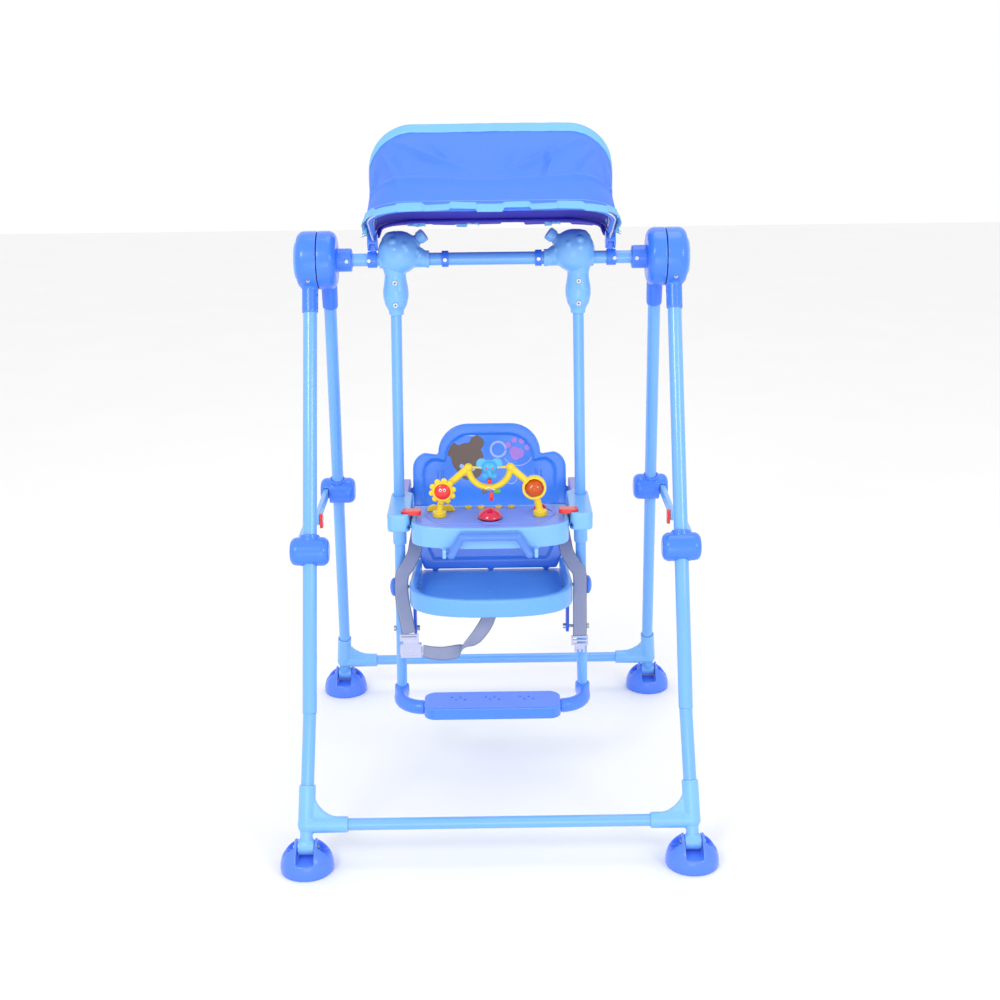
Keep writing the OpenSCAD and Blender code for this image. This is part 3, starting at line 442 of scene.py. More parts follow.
def band_weave(name, code):
    """Ribbed webbing: ribs along, a herringbone across, and darker selvedges."""
    f = Finish(name, Sheen_Weight=0.2, Sheen_Roughness=0.5)
    rgb = colour(code)
    across, along = f.cloth_axes()
    rib_pitch, twill_pitch = 0.003, 0.0016
    slant = across.math("PINGPONG", rib_pitch)
    twill = f.wave(along + slant, twill_pitch) * 0.5 + 0.5
    rib = f.wave(across, rib_pitch) * 0.5 + 0.5
    edge = f.threshold(across.math("ABSOLUTE"), 0.0105, 0.0118)
    base = f.tint(shaded(rgb, 0.8), shaded(rgb, 1.08), twill * 0.6 + rib * 0.2 + f.cloud(40, 3) * 0.2)
    f.paint(f.tint(base, shaded(rgb, 0.72), edge * 0.7), f.between(0.5, 0.7, twill))
    f.relief(twill * 0.6 + rib * 0.3 - edge * 0.5, 0.0004)
    return f.material


def printed(name, code):
    """Printed film stuck on plastic: fine ink dots and patchy gloss."""
    f = Finish(name)
    rgb = colour(code)
    dots = f.threshold(f.cloud(1800, 0), 0.45, 0.6)
    f.paint(f.tint(shaded(rgb, 0.9), shaded(rgb, 1.06), dots), f.between(0.3, 0.42, f.cloud(70, 2)))
    f.relief(f.cloud(500, 2), 0.00003)
    return f.material


def make_finishes():
    """Every material of the swing, by the short name that the pieces use."""
    return {
        "tube": tube_paint("tube_paint", "#74b3fb"),
        "hub": plastic("hub_blue", "#4184fc"),
        "sky": plastic("sky_blue", "#7dbdfb"),
        "foot": plastic("foot_blue", "#5386fc"),
        "seat": plastic("seat_blue", "#6cb0fa"),
        "back": plastic("back_blue", "#3c8bfc", coat=0.3),
        "deep": plastic("deep_blue", "#1a5ee6"),
        "step": plastic("step_blue", "#4d8bff"),
        "panel": plastic("tray_panel_blue", "#7596fa", rough=0.3),
        "lavender": plastic("lavender_plastic", "#8f92dc", rough=0.3),
        "yellow": plastic("toy_yellow", "#f5d21f"),
        "red": plastic("toy_red", "#f0282c", rough=0.15, coat=0.4),
        "crimson": plastic("toy_crimson", "#d80a45", rough=0.1, coat=0.6),
        "orange": clear_plastic("clear_orange", "#ff6a08", 0.45),
        "clear": clear_plastic("clear_blue", "#6aa2ff", 0.35),
        "toy_blue": plastic("toy_sky_blue", "#45b4f2"),
        "green": plastic("toy_green", "#58b43c"),
        "white": plastic("white_plastic", "#f2f2f2"),
        "black": plastic("black_plastic", "#101014"),
        "buckle": plastic("buckle_grey", "#c5c9e4", rough=0.35),
        "steel": bright_steel("bright_steel"),
        "hoop": tube_paint("hoop_white", "#ece6ee"),
        "canopy": woven("canopy_taffeta", "#4482fb", 0.0007, sheen=0.04, crease=0.9),
        # A darker copy of the canopy cloth, painted shade for the canopy's inner side, the rear frill and the
        # rear hem
        "shaded_cloth": woven("canopy_lining", "#4742cc", 0.0007, sheen=0.04, crease=0.5),
        "binding": woven("canopy_binding", "#74bff3", 0.0009, sheen=0.06, crease=0.4),
        "webbing": band_weave("harness_webbing", "#9aa2c4"),
        "thread": woven("sewing_thread", "#dfe8fa", 0.0004, sheen=0.1),
        "brown": printed("brown_print", "#75625a"),
        "purple": printed("purple_print", "#bd8ae8"),
        "pale": printed("pale_print", "#b4c4f6"),
    }


# ---- Geometry Nodes ----
class Growth(Graph):
    """A Geometry Nodes tree that ends in Realize Instances and Set Material."""

    def __init__(self, name, sizes):
        super().__init__(bpy.data.node_groups.new(name, "GeometryNodeTree"))
        face = self.tree.interface
        face.new_socket("Geometry", in_out="INPUT", socket_type="NodeSocketGeometry")
        for label, value in sizes.items():
            item = face.new_socket(label, in_out="INPUT", socket_type="NodeSocketFloat")
            item.default_value = value
        face.new_socket("Material", in_out="INPUT", socket_type="NodeSocketMaterial")
        face.new_socket("Geometry", in_out="OUTPUT", socket_type="NodeSocketGeometry")
        self.entry = self.tree.nodes.new("NodeGroupInput")
        self.exit = self.tree.nodes.new("NodeGroupOutput")

    def given(self, label):
        return Value(self, self.entry.outputs[label])

    def vector(self, x, y, z):
        return self.add("ShaderNodeCombineXYZ", None, {0: x, 1: y, 2: z})

    def end(self, instances):
        real = self.add("GeometryNodeRealizeInstances", None, {0: instances})
        smooth = self.add("GeometryNodeSetShadeSmooth", None, {0: real})
        done = self.add("GeometryNodeSetMaterial", None, {0: smooth, "Material": self.given("Material")})
        self.feed(self.exit.inputs[0], done)
        return self.tree


def aimed_points(g, item):
    """Puts item on every point, turned so that its Z looks along the point's facing attribute."""
    facing = g.add("GeometryNodeInputNamedAttribute", {"data_type": "FLOAT_VECTOR"}, {"Name": "facing"})
    turned = g.add("FunctionNodeAlignRotationToVector", {"axis": "Z"}, {"Vector": facing})
    dots = g.add("GeometryNodeMeshToPoints", None, {0: g.given("Geometry")})
    return g.add("GeometryNodeInstanceOnPoints", None, {"Points": dots, "Instance": item, "Rotation": turned})


def long_bead(g, segments, rings, width, length):
    """An ellipsoid with its length along Z."""
    bead = g.add("GeometryNodeMeshUVSphere", None, {"Segments": segments, "Rings": rings, "Radius": 0.5})
    return g.add("GeometryNodeTransform", None, {0: bead, "Scale": g.vector(width, width, length)})


def screw_head_tree():
    """Low domes. Dome is a head's height as a share of its radius."""
    g = Growth("screw_heads", {"Head radius": 3.6 * MM, "Dome": 0.45})
    radius = g.given("Head radius")
    dome = g.add("GeometryNodeMeshUVSphere", None, {"Segments": 28, "Rings": 14, "Radius": radius})
    flat = g.add("GeometryNodeTransform", None, {0: dome, "Scale": g.vector(1.0, 1.0, g.given("Dome"))})
    return g.end(aimed_points(g, flat))


def screw_slot_shade_tree():
    """A black cross on a screw head, painted as the shade in the head's cross recess. Lift is its height over
    the point that the head stands on.
    """
    g = Growth("screw_slots", {"Slot length": 4.2 * MM, "Slot width": 0.9 * MM, "Lift": 1.35 * MM})
    size = g.vector(g.given("Slot length"), g.given("Slot width"), 0.7 * MM)
    bar = g.add("GeometryNodeMeshCube", None, {"Size": size})
    cross = g.add("GeometryNodeTransform", None, {0: bar, "Rotation": (0, 0, math.pi / 2)})
    both = g.tree.nodes.new("GeometryNodeJoinGeometry")
    g.feed(both.inputs[0], bar)
    g.feed(both.inputs[0], cross)
    lift = g.vector(0.0, 0.0, g.given("Lift"))
    raised = g.add("GeometryNodeTransform", None, {0: Value(g, both.outputs[0]), "Translation": lift})
    return g.end(aimed_points(g, raised))


def stitch_tree():
    """Stitches along the host's lines. Each is a long bead that lies along the line."""
    g = Growth("stitches", {"Pitch": 3.2 * MM, "Stitch length": 2.2 * MM, "Thread": 0.55 * MM})
    path = g.add("GeometryNodeMeshToCurve", None, {0: g.given("Geometry")})
    even = g.add("GeometryNodeResampleCurve", {"mode": "LENGTH"}, {"Curve": path, "Length": g.given("Pitch")})
    ahead = g.add("GeometryNodeInputTangent")
    turned = g.add("FunctionNodeAlignRotationToVector", {"axis": "Z"}, {"Vector": ahead})
    bead = long_bead(g, 6, 5, g.given("Thread"), g.given("Stitch length"))
    where = {"Points": even, "Instance": bead, "Rotation": turned}
    return g.end(g.add("GeometryNodeInstanceOnPoints", None, where))


def rib_tree():
    """Finger ribs round a knob. The host mesh is the ring of places, each facing along the knob."""
    g = Growth("finger_ribs", {"Rib width": 1.2 * MM, "Rib length": 1.9 * MM})
    return g.end(aimed_points(g, long_bead(g, 10, 6, g.given("Rib width"), g.given("Rib length"))))


def grow(name, tree, host, material, body, sizes=None):
    """Runs a tree on a host mesh and keeps the result as a plain mesh."""
    piece = add_object(name, host)
    modifier = piece.modifiers.new("grow", "NODES")
    modifier.node_group = tree
    wanted = {**(sizes or {}), "Material": material}
    for item in tree.interface.items_tree:
        if item.in_out == "INPUT" and item.name in wanted:
            modifier[item.identifier] = wanted[item.name]
    settle(piece)
    return dress(piece, None, body, smooth=False)


def aimed_mesh(name, places):
    """Loose points with a facing direction each. places is a list of (point, facing)."""
    mesh = bpy.data.meshes.new(name)
    mesh.from_pydata([tuple(p) for p, _ in places], [], [])
    facing = mesh.attributes.new("facing", "FLOAT_VECTOR", "POINT")
    for item, (_, aim) in zip(facing.data, places):
        item.vector = Vector(aim).normalized()
    return mesh


def line_mesh(name, lines):
    """Open lines of points, joined by edges only."""
    points, edges = [], []
    for line in lines:
        edges += [(len(points) + i, len(points) + i + 1) for i in range(len(line) - 1)]
        points += [tuple(p) for p in line]
    mesh = bpy.data.meshes.new(name)
    mesh.from_pydata(points, edges, [])
    return mesh


# ---- Frame ----
TUBES = (
    "top_bar", "rear_legs", "front_legs", "front_lower_legs",
    "rear_floor_bar", "front_floor_bar", "swing_poles",
)
FASTENERS = ("rear_fasteners", "front_fasteners", "swing_fasteners")
MOULDINGS = (
    # finish, mesh size in millimetres, rounds of smoothing, nodes
    ("hub", 1.9, 4, ("inner_housings", "outer_housings")),
    ("sky", 1.2, 4, ("housing_caps",)),
    ("hub", 0.9, 4, ("stop_collars",)),
    ("hub", 1.0, 4, ("canopy_clamps", "canopy_hubs")),
    ("hub", 1.3, 4, ("front_hubs", "rear_hubs")),
    ("sky", 1.8, 4, ("front_corners", "rear_corners")),
    ("sky", 1.2, 4, ("brace_rear_left", "brace_rear_right", "brace_front_left", "brace_front_right")),
    ("red", 0.8, 4, ("brace_latch_left", "brace_latch_right")),
    ("foot", 1.5, 4, ("foot_front_left", "foot_front_right", "foot_rear_left", "foot_rear_right")),
    ("sky", 1.3, 4, ("hanger_front_shells",)),
    ("sky", 1.4, 4, ("hanger_rear_shells",)),
    ("sky", 0.9, 4, ("hanger_knob_left", "hanger_knob_right")),
    ("sky", 1.8, 12, ("armrests",)),
    ("lavender", 1.6, 6, ("back_brackets",)),
    ("back", 1.9, 8, ("backrest",)),
    ("seat", 2.1, 13, ("seat_pan",)),
    ("step", 1.3, 4, ("footrest_board",)),
    ("sky", 1.8, 7, ("tray_shell",)),
    ("deep", 1.2, 4, ("seat_brackets",)),
    ("step", 1.4, 4, ("footrest_arms",)),
    ("panel", 1.5, 4, ("tray_panel",)),
    ("clear", 1.0, 4, ("tray_handle",)),
    ("red", 0.7, 4, ("lock_button_left", "lock_button_right")),
    ("yellow", 1.0, 4, ("toy_arch",)),
    ("crimson", 0.8, 4, ("dome_button",)),
    ("yellow", 0.6, 4, ("melody_button_1", "melody_button_2", "melody_button_3", "melody_button_4")),
    ("toy_blue", 0.7, 4, ("spinner_toy",)),
    ("orange", 0.7, 4, ("toy_dial",)),
)


def metalwork(f):
    """The tubes, hoops and fasteners, whose CAD shape is shown as it is."""
    for node in TUBES:
        carried_over(node, f["tube"])
    for node in FASTENERS:
        carried_over(node, f["steel"])
    carried_over("canopy_hoops", f["hoop"])


def mouldings(f):
    """The plastic parts, rounded as if out of a mould."""
    for finish, grain, rounds, nodes in MOULDINGS:
        for node in nodes:
            moulded(node, f[finish], grain * MM, rounds)


def swing_cover_knobs(f):
    """Domed covers over the seat bolts, on the outside of the poles."""
    low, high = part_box("swing_fasteners")
    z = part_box("seat_pan")[1].z - 23 * MM
    for side, edge, inward in (("left", low.x, 1), ("right", high.x, -1)):
        bm = bmesh.new()
        ball(bm, (edge + inward * 6 * MM, 0, z), (7.5 * MM, 17 * MM, 17 * MM))
        rod(bm, (edge + inward * 4 * MM, 0, z), (edge + inward * 9 * MM, 0, z), 15.5 * MM)
        dress(fused("seat_knob_" + side, bm, 0.8 * MM, 4), f["hub"], "swing")


# Places of screw heads, in millimetres: how far down a hanger, and across and ahead of the top bar's middle
HANGER_SCREWS = (38, 76)
BAR_SCREWS = ((80, 14.1), (210, 14.1), (247.5, 20.1))
# From the outer side of the swing poles' box to the middle of a hanger, in metres
POLE_INSET = 20.5 * MM


def screws(f):
    """Screw heads on the hangers, collars, clamps and housings, one mesh of heads for each body."""
    heads, slot_shades = screw_head_tree(), screw_slot_shade_tree()
    front, front_up = (0, -1, 0), (0, -0.93, 0.37)
    poles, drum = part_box("swing_poles"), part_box("outer_housings")
    hanger_x = (poles[1].x - poles[0].x) / 2 - POLE_INSET
    groups = {"swing": [], "rear_frame": [], "front_frame": []}
    for side in (-1, 1):
        for drop in HANGER_SCREWS:
            groups["swing"].append(((SWING_X + side * hanger_x, -19.6 * MM, BAR_Z - drop * MM), front))
        for across, ahead in BAR_SCREWS:
            groups["rear_frame"].append(((side * across * MM, -ahead * MM, BAR_Z), front))
        groups["front_frame"].append(((side * 312.5 * MM, -41 * MM, drum[0].z + 62 * MM), front_up))
    for body, places in groups.items():
        grow("screw_heads_" + body, heads, aimed_mesh("screws", places), f["steel"], body)
        # Black crosses on the heads, painted shade for the heads' cross recesses
        grow("screw_slots_" + body, slot_shades, aimed_mesh("screws", places), f["black"], body)


def hanger_details(f):
    """Finger ribs round the lock knobs on the hangers."""
    tree = rib_tree()
    ribs, levels, radius, first, step = 28, 4, 10.9, 5.4, 3
    for name in ("left", "right"):
        joint = JOINT[f"hanger_knob_{name}_turn"]
        axis = Vector(joint["axis"]).normalized()
        foot = Vector(joint["pos_m"])
        across = axis.cross(Vector((0, 1, 0))).normalized()
        deep = axis.cross(across)
        places = []
        for level in range(levels):
            for k in range(ribs):
                a = 2 * math.pi * k / ribs
                out = math.cos(a) * across + math.sin(a) * deep
                places.append((foot + axis * (first + step * level) * MM + out * radius * MM, axis))
        body = "hanger_knob_" + name
        grow("knob_ribs_" + name, tree, aimed_mesh("ribs", places), f["sky"], body)


# ---- Canopy ----
CANOPY_HALF_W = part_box("canopy_cloth")[1].x - 4 * MM
CANOPY_REACH = 196 * MM
CANOPY_CORNER = 75 * MM
CANOPY_LOW = 50 * MM
CANOPY_TILT, CANOPY_FAN = math.radians(9), math.radians(77)
CANOPY_PIVOT = Vector(JOINT["canopy_tilt"]["pos_m"])
CLOTH_DEPTH = 450 * MM
CREASES = [
    # start (s, t), end (s, t), height, width. s runs along a hoop and t from the front hoop to the rear one
    ((0.78, 0.44), (0.58, 0.22), 0.0042, 0.016),
    ((0.80, 0.42), (0.74, 0.10), 0.0036, 0.014),
    ((0.84, 0.36), (0.86, 0.06), 0.0040, 0.016),
    ((0.24, 0.44), (0.44, 0.20), 0.0046, 0.017),
    ((0.22, 0.42), (0.30, 0.12), 0.0030, 0.013),
    ((0.34, 0.34), (0.37, 0.14), -0.0032, 0.009),
    ((0.16, 0.36), (0.14, 0.05), 0.0038, 0.015),
    ((0.84, 0.16), (0.50, 0.13), 0.0036, 0.016),
    ((0.52, 0.13), (0.14, 0.17), 0.0036, 0.017),
    ((0.66, 0.40), (0.60, 0.26), 0.0026, 0.009),
    ((0.72, 0.36), (0.64, 0.27), 0.0030, 0.008),
    ((0.30, 0.38), (0.42, 0.24), 0.0026, 0.008),
    ((0.45, 0.36), (0.47, 0.20), 0.0016, 0.010),
    ((0.76, 0.58), (0.60, 0.84), 0.0042, 0.016),
    ((0.25, 0.58), (0.42, 0.86), 0.0040, 0.016),
    ((0.50, 0.62), (0.52, 0.90), 0.0026, 0.015),
    ((0.86, 0.62), (0.84, 0.92), 0.0036, 0.014),
    ((0.14, 0.62), (0.17, 0.92), 0.0036, 0.014),
]


def hoop_line(s):
    """A point of the hoop's rounded U, as (x, distance from the pivot), for s from 0, right, to 1, left."""
    upright = CANOPY_REACH - CANOPY_CORNER - CANOPY_LOW
    bend = math.pi / 2 * CANOPY_CORNER
    top = 2 * (CANOPY_HALF_W - CANOPY_CORNER)
    run = min(s, 1 - s) * (2 * upright + 2 * bend + top)
    if run < upright:
        x, h = CANOPY_HALF_W, CANOPY_LOW + run
    elif run < upright + bend:
        a = (run - upright) / CANOPY_CORNER
        x = CANOPY_HALF_W - CANOPY_CORNER + CANOPY_CORNER * math.cos(a)
        h = CANOPY_REACH - CANOPY_CORNER + CANOPY_CORNER * math.sin(a)
    else:
        x, h = CANOPY_HALF_W - CANOPY_CORNER - (run - upright - bend), CANOPY_REACH
    return (x if s <= 0.5 else -x), h


HOOP_UPRIGHTS = 2 * (CANOPY_REACH - CANOPY_CORNER - CANOPY_LOW)
HOOP_LENGTH = HOOP_UPRIGHTS + math.pi * CANOPY_CORNER + 2 * (CANOPY_HALF_W - CANOPY_CORNER)


def fan_angle(t):
    """How far the cloth leans forward from upright at t."""
    return -CANOPY_TILT + CANOPY_FAN * (1 - 2 * t)


def hoop_pull(t):
    """The cloth is pulled nearly straight between two hoops, so its reach is shorter there."""
    off = CANOPY_FAN * (abs(1 - 2 * t) - 0.5)
    return 1 - 0.85 * (1 - math.cos(CANOPY_FAN / 2) / math.cos(off))


def canopy_point(s, t, lift=0.0):
    """The plain fan surface, for t from 0, front, to 1, rear. lift is along its outward normal."""
    x, h = hoop_line(s)
    e = 0.002
    x1, h1 = hoop_line(min(1, s + e))
    x0, h0 = hoop_line(max(0, s - e))
    outward = Vector((h1 - h0, x0 - x1)).normalized()
    x, h = x + outward.x * lift, h * hoop_pull(t) + outward.y * lift
    x *= 1 - 0.022 * math.sin(2 * math.pi * t) ** 2
    a = fan_angle(t)
    return CANOPY_PIVOT + Vector((x, -h * math.sin(a), h * math.cos(a)))


def canopy_slack(s, t):
    """How far the cloth stands off the plain surface: sag between the hoops, pulls and creases."""
    between = math.sin(2 * math.pi * t) ** 2
    low = min(s, 1 - s) * HOOP_LENGTH
    sag = -0.004 * between * min(1.0, low / 0.12)
    broad = noise.noise(Vector((s * 9, t * 4.5, 0.3)))
    fine = noise.noise(Vector((s * 26, t * 9, 2.1)))
    total = sag + (0.0022 * broad + 0.0011 * fine) * (0.25 + between)
    here = Vector((s * HOOP_LENGTH, t * CLOTH_DEPTH))
    for start, end, height, width in CREASES:
        a = Vector((start[0] * HOOP_LENGTH, start[1] * CLOTH_DEPTH))
        b = Vector((end[0] * HOOP_LENGTH, end[1] * CLOTH_DEPTH))
        share = max(0.0, min(1.0, (here - a).dot(b - a) / (b - a).length_squared))
        away = (here - a - share * (b - a)).length
        across = (away / width) ** 2
        ridge = math.exp(-5.5 * across) - 0.35 * math.exp(-1.2 * across)
        total += 2.0 * height * ridge * math.sin(math.pi * (0.12 + 0.76 * share)) * between
    return total


def cloth_point(s, t, lift=0.0):
    """A point of the creased cloth, or lift above it."""
    return canopy_point(s, t, canopy_slack(s, t) + lift)


def cloth_area(steps=40):
    """The area of the plain fan surface, from a grid of small quads."""
    total = 0.0
    for i in range(steps):
        for j in range(steps):
            side = canopy_point((j + 1) / steps, i / steps) - canopy_point(j / steps, i / steps)
            middle = (j + 0.5) / steps
            rise = canopy_point(middle, (i + 1) / steps) - canopy_point(middle, i / steps)
            total += side.length * rise.length
    return total


def canopy(f):
    """One cloth over three hoops, with its tape, frills, hems and stitches."""
    across, deep = 220, 120
    crease_area = 1.005
    rows, uvs = [], []
    for i in range(deep + 1):
        t = i / deep
        rows.append([cloth_point(j / across, t) for j in range(across + 1)])
        uvs.append([(j / across * HOOP_LENGTH, t * 2 * CANOPY_FAN * CANOPY_REACH) for j in range(across + 1)])
    cover = add_object("canopy_cover", sheet_mesh("canopy_cover", rows, uvs))
    turn_outwards(cover)
    skin = cover.modifiers.new("skin", "SOLIDIFY")
    # The inner shell takes the second material, the darker cloth that paints the shade inside the canopy
    skin.thickness, skin.offset, skin.material_offset = 0.5 * MM, -1, 1
    cover.data.materials.append(f["canopy"])
    cover.data.materials.append(f["shaded_cloth"])
    settle(cover)
    dress(cover, None, "canopy", ["canopy_cloth"])
    trims = [canopy_binding(f), *canopy_ruffle(f), *hem_tunnels(f), canopy_seams(f)]
    cloth_area() * crease_area


def turn_outwards(piece):
    """Makes an open cover's faces look away from the canopy's pivot."""
    mesh = piece.data
    middle = mesh.polygons[len(mesh.polygons) // 2]
    if middle.normal.dot(middle.center - CANOPY_PIVOT) < 0:
        mesh.flip_normals()


def canopy_binding(f):
    """The pale tape over the middle hoop and the narrow hem at the rear hoop."""
    meshes = []
    wide, long, crown = 8, 180, 1.0 * MM
    for centre, half in ((0.486, 19 * MM), (0.985, 5 * MM)):
        rows, uvs = [], []
        for k in range(wide + 1):
            off = (k / wide - 0.5) * 2
            row, uv = [], []
            for j in range(long + 1):
                s = j / long
                t = centre + off * half / (hoop_line(s)[1] * 2 * CANOPY_FAN)
                rise = crown * (1 - off**4) + 0.5 * MM
                pucker = 0.0004 * noise.noise(Vector((s * 60, off, centre)))
                row.append(canopy_point(s, t, canopy_slack(s, t) + rise + pucker))
                uv.append((s * HOOP_LENGTH, off * half))
            rows.append(row)
            uvs.append(uv)
        meshes.append(add_object("canopy_binding", sheet_mesh("canopy_binding", rows, uvs)))
    piece = join("canopy_binding", meshes)
    thicken(piece, 0.7 * MM)
    return dress(piece, f["binding"], "canopy")


def join(name, pieces):
    """Joins meshes, which keep their UV maps."""
    first = pieces[0]
    with bpy.context.temp_override(active_object=first, selected_editable_objects=pieces):
        bpy.ops.object.join()
    first.name = name
    return first


def thicken(piece, thickness):
    """Gives a thin sheet the same cloth thickness on both sides of it."""
    skin = piece.modifiers.new("skin", "SOLIDIFY")
    skin.thickness, skin.offset = thickness, 0
    return settle(piece)


def frill(name, hem, out, down, width, pleat, depth, seed, rise):
    """A strip sewn along a hem, in flat overlapping pleats.

    out and down are directions along the hem, pleat is a pleat's width and depth how far it stands out.
    rise is the share of the strip that stands above the hem. Every second pleat is a tongue on top.
    """
    rng = random.Random(seed)
    fold_speed, drops = 9, 8
    length = [0.0]
    for a, b in zip(hem, hem[1:]):
        length.append(length[-1] + (b - a).length)
    count = max(2, round(length[-1] / pleat))
    tall = [rng.uniform(0.78, 1.15) for _ in range(count + 2)]
    lean = [rng.uniform(-0.35, 0.5) for _ in range(count + 2)]
    rows, uvs = [], []
    for d in range(drops + 1):
        share = d / drops
        row, uv = [], []
        for i, p in enumerate(hem):
            phase = length[i] / length[-1] * count
            k, inside = int(phase), phase - int(phase)
            last = max(0, k - 1)
            turn = 0.5 - 0.5 * math.cos(math.pi * min(1, inside * fold_speed))
            before, now = (k + 1) % 2, k % 2
            tongue = before + (now - before) * turn
            size = tall[last] + (tall[k] - tall[last]) * turn
            step = (0.3 * (tongue - 0.5) + lean[k] * 0.45 * (inside - 0.5)) * width
            spread = tongue * (0.4 + 0.6 * share) + lean[k] * (0.4 + share) * (inside - 0.2)
            stand = depth * (spread + 0.5 * share)
            wave = 0.0014 * noise.noise(Vector((phase * 2.3, share * 2, seed)))
            fall = (share * size - rise) * width + step
            row.append(p + out[i] * (1.4 * MM + stand + wave) + down[i] * fall)
            uv.append((length[i], share * width))
        rows.append(row)
        uvs.append(uv)
    return add_object(name, sheet_mesh(name, rows, uvs))


def edge_frill(name, spots, t, beyond, width, pleat, depth, seed, rise):
    """A frill along the front or rear edge, at spots along the hoop. beyond is a t just past the edge."""
    hem = [canopy_point(s, t) for s in spots]
    out = [(canopy_point(s, t, 1 * MM) - p).normalized() for s, p in zip(spots, hem)]
    down = [(canopy_point(s, beyond) - p).normalized() for s, p in zip(spots, hem)]
    return frill(name, hem, out, down, width, pleat, depth, seed, rise)


def side_frill(s, side, width, pleat, depth, seed, rise, steps=200):
    """A frill round a side opening. It hangs towards the hub and leans outwards."""
    hem = [canopy_point(s, j / steps) for j in range(steps + 1)]
    lean = Vector((0.45 * side, 0, 0))
    down = [((CANOPY_PIVOT + Vector((p.x, 0, 0)) - p).normalized() + lean).normalized() for p in hem]
    return frill("side_frill", hem, [Vector((side, 0, 0))] * len(hem), down, width, pleat, depth, seed, rise)


def canopy_ruffle(f):
    """Pleated frills along the front and rear edges, gathered ones at the sides, and tabs at the rear hem."""
    whole = [j / 420 for j in range(421)]
    front = edge_frill("front_frill", whole, 0.0, -0.01, 19 * MM, 42 * MM, 3.2 * MM, 3, 0.62)
    rear = edge_frill("rear_frill", whole, 1.0, 1.01, 12 * MM, 42 * MM, 3.2 * MM, 5, 0.2)
    strips = [front]
    for s, side, seed in ((0.0, 1, 7), (1.0, -1, 9)):
        strips.append(side_frill(s, side, 25 * MM, 11 * MM, 4.0 * MM, seed, 0.2))
    for start, end, seed in ((0.30, 0.345, 11), (0.535, 0.60, 13), (0.69, 0.74, 15)):
        spots = [start + (end - start) * j / 40 for j in range(41)]
        strips.append(edge_frill("hem_tab", spots, 1.0, 1.01, 15 * MM, 20 * MM, 2.2 * MM, seed, 0.05))
    thicken(rear, 0.7 * MM)
    # The rear frill is in the darker cloth, painted as shade
    dress(rear, f["shaded_cloth"], "canopy")
    piece = join("canopy_ruffle", strips)
    thicken(piece, 0.7 * MM)
    return [rear, dress(piece, f["binding"], "canopy")]


def hem_tunnels(f):
    """The cloth sewn round the front and rear hoops."""
    pieces = []
    # The rear hem tunnel is in the darker cloth, painted as shade
    for name, t, finish in (("front", 0.0, "canopy"), ("rear", 1.0, "shaded_cloth")):
        a = fan_angle(t)
        line = []
        for j in range(161):
            x, h = hoop_line(0.012 + 0.976 * j / 160)
            x, h = x * (1 - 7.2 * MM / CANOPY_HALF_W), h - 4 * MM
            line.append(CANOPY_PIVOT + Vector((x, -h * math.sin(a), h * math.cos(a))))
        tunnel = add_object(name + "_hem_tunnel", piping(name + "_hem_tunnel", line, 3.6 * MM, 14))
        for point in tunnel.data.vertices:
            point.co += 0.0004 * noise.noise_vector(point.co * 120)
        pieces.append(dress(tunnel, f[finish], "canopy"))
    return pieces


def canopy_seams(f):
    """Rows of stitches on both sides of the middle tape and above the front and rear edges."""
    lines = []
    for t, lift in ((0.4535, 1.2), (0.519, 1.2), (0.03, 0.9), (0.966, 0.9)):
        lines.append([cloth_point(j / 240, t, lift * MM) for j in range(3, 238)])
    host = line_mesh("seams", lines)
    return grow("canopy_stitches", stitch_tree(), host, f["thread"], "canopy")


# ---- Harness ----
def ribbon(name, points, sides, width=25 * MM, thick=1.5 * MM):
    """Flat webbing through points in millimetres. sides are the width directions there.

    Returns its piece and the two lines of its edge stitches.
    """
    line = curve_through([Vector(p) * MM for p in points], 14)
    wide = curve_through([Vector(s).normalized() for s in sides], 14)
    rows, uvs, edges, run = [], [], ([], []), 0.0
    for i, p in enumerate(line):
        ahead = (line[min(i + 1, len(line) - 1)] - line[max(i - 1, 0)]).normalized()
        across = (wide[i] - wide[i].dot(ahead) * ahead).normalized()
        up = ahead.cross(across)
        if i:
            run += (p - line[i - 1]).length
        row, uv = [], []
        for face, shares in ((1, np.linspace(-1, 1, 11)), (-1, np.linspace(1, -1, 11))):
            for u in shares:
                cup = 0.0008 * u * u * math.sin(run * 37)
                row.append(p + across * (u * width / 2) + up * (cup + face * thick / 2 * (1 - abs(u) ** 6)))
                uv.append((u * width / 2, run))
        rows.append(row)
        uvs.append(uv)
        for edge, u in zip(edges, (-0.8, 0.8)):
            edge.append(p + across * (u * width / 2) + up * (thick / 2 * 0.8 + 0.15 * MM))
    mesh = closed(sheet_mesh(name, rows, uvs, loop=True), merge=1e-6)
    return add_object(name, mesh), edges


# Routes of the webbing, in millimetres, with x from the middle of the swing
RIGHT_STRAP = [
    (128, 117, 484), (129, 96, 476), (131, 70, 468), (133, 40, 459), (135.5, 8, 447), (139, -13, 432),
    (150, -26, 414), (160.5, -31, 396), (161, -32, 350), (161.5, -31, 310), (161.5, -29.5, 276),
]
LEFT_STRAP = [
    (-128, 117, 484), (-129, 96, 476), (-131, 70, 468), (-133, 40, 459), (-135.5, 8, 447), (-139, -13, 432),
    (-150, -26, 414), (-160.5, -32, 396), (-161, -38, 358), (-155, -48, 326), (-149, -58, 296),
]
CROTCH_STRAP = [
    (0, -100, 358), (-8, -101, 334), (-20, -101, 314), (-36, -96, 293),
    (-56, -88, 275), (-80, -78, 265), (-104, -69, 262), (-124, -62, 263),
]


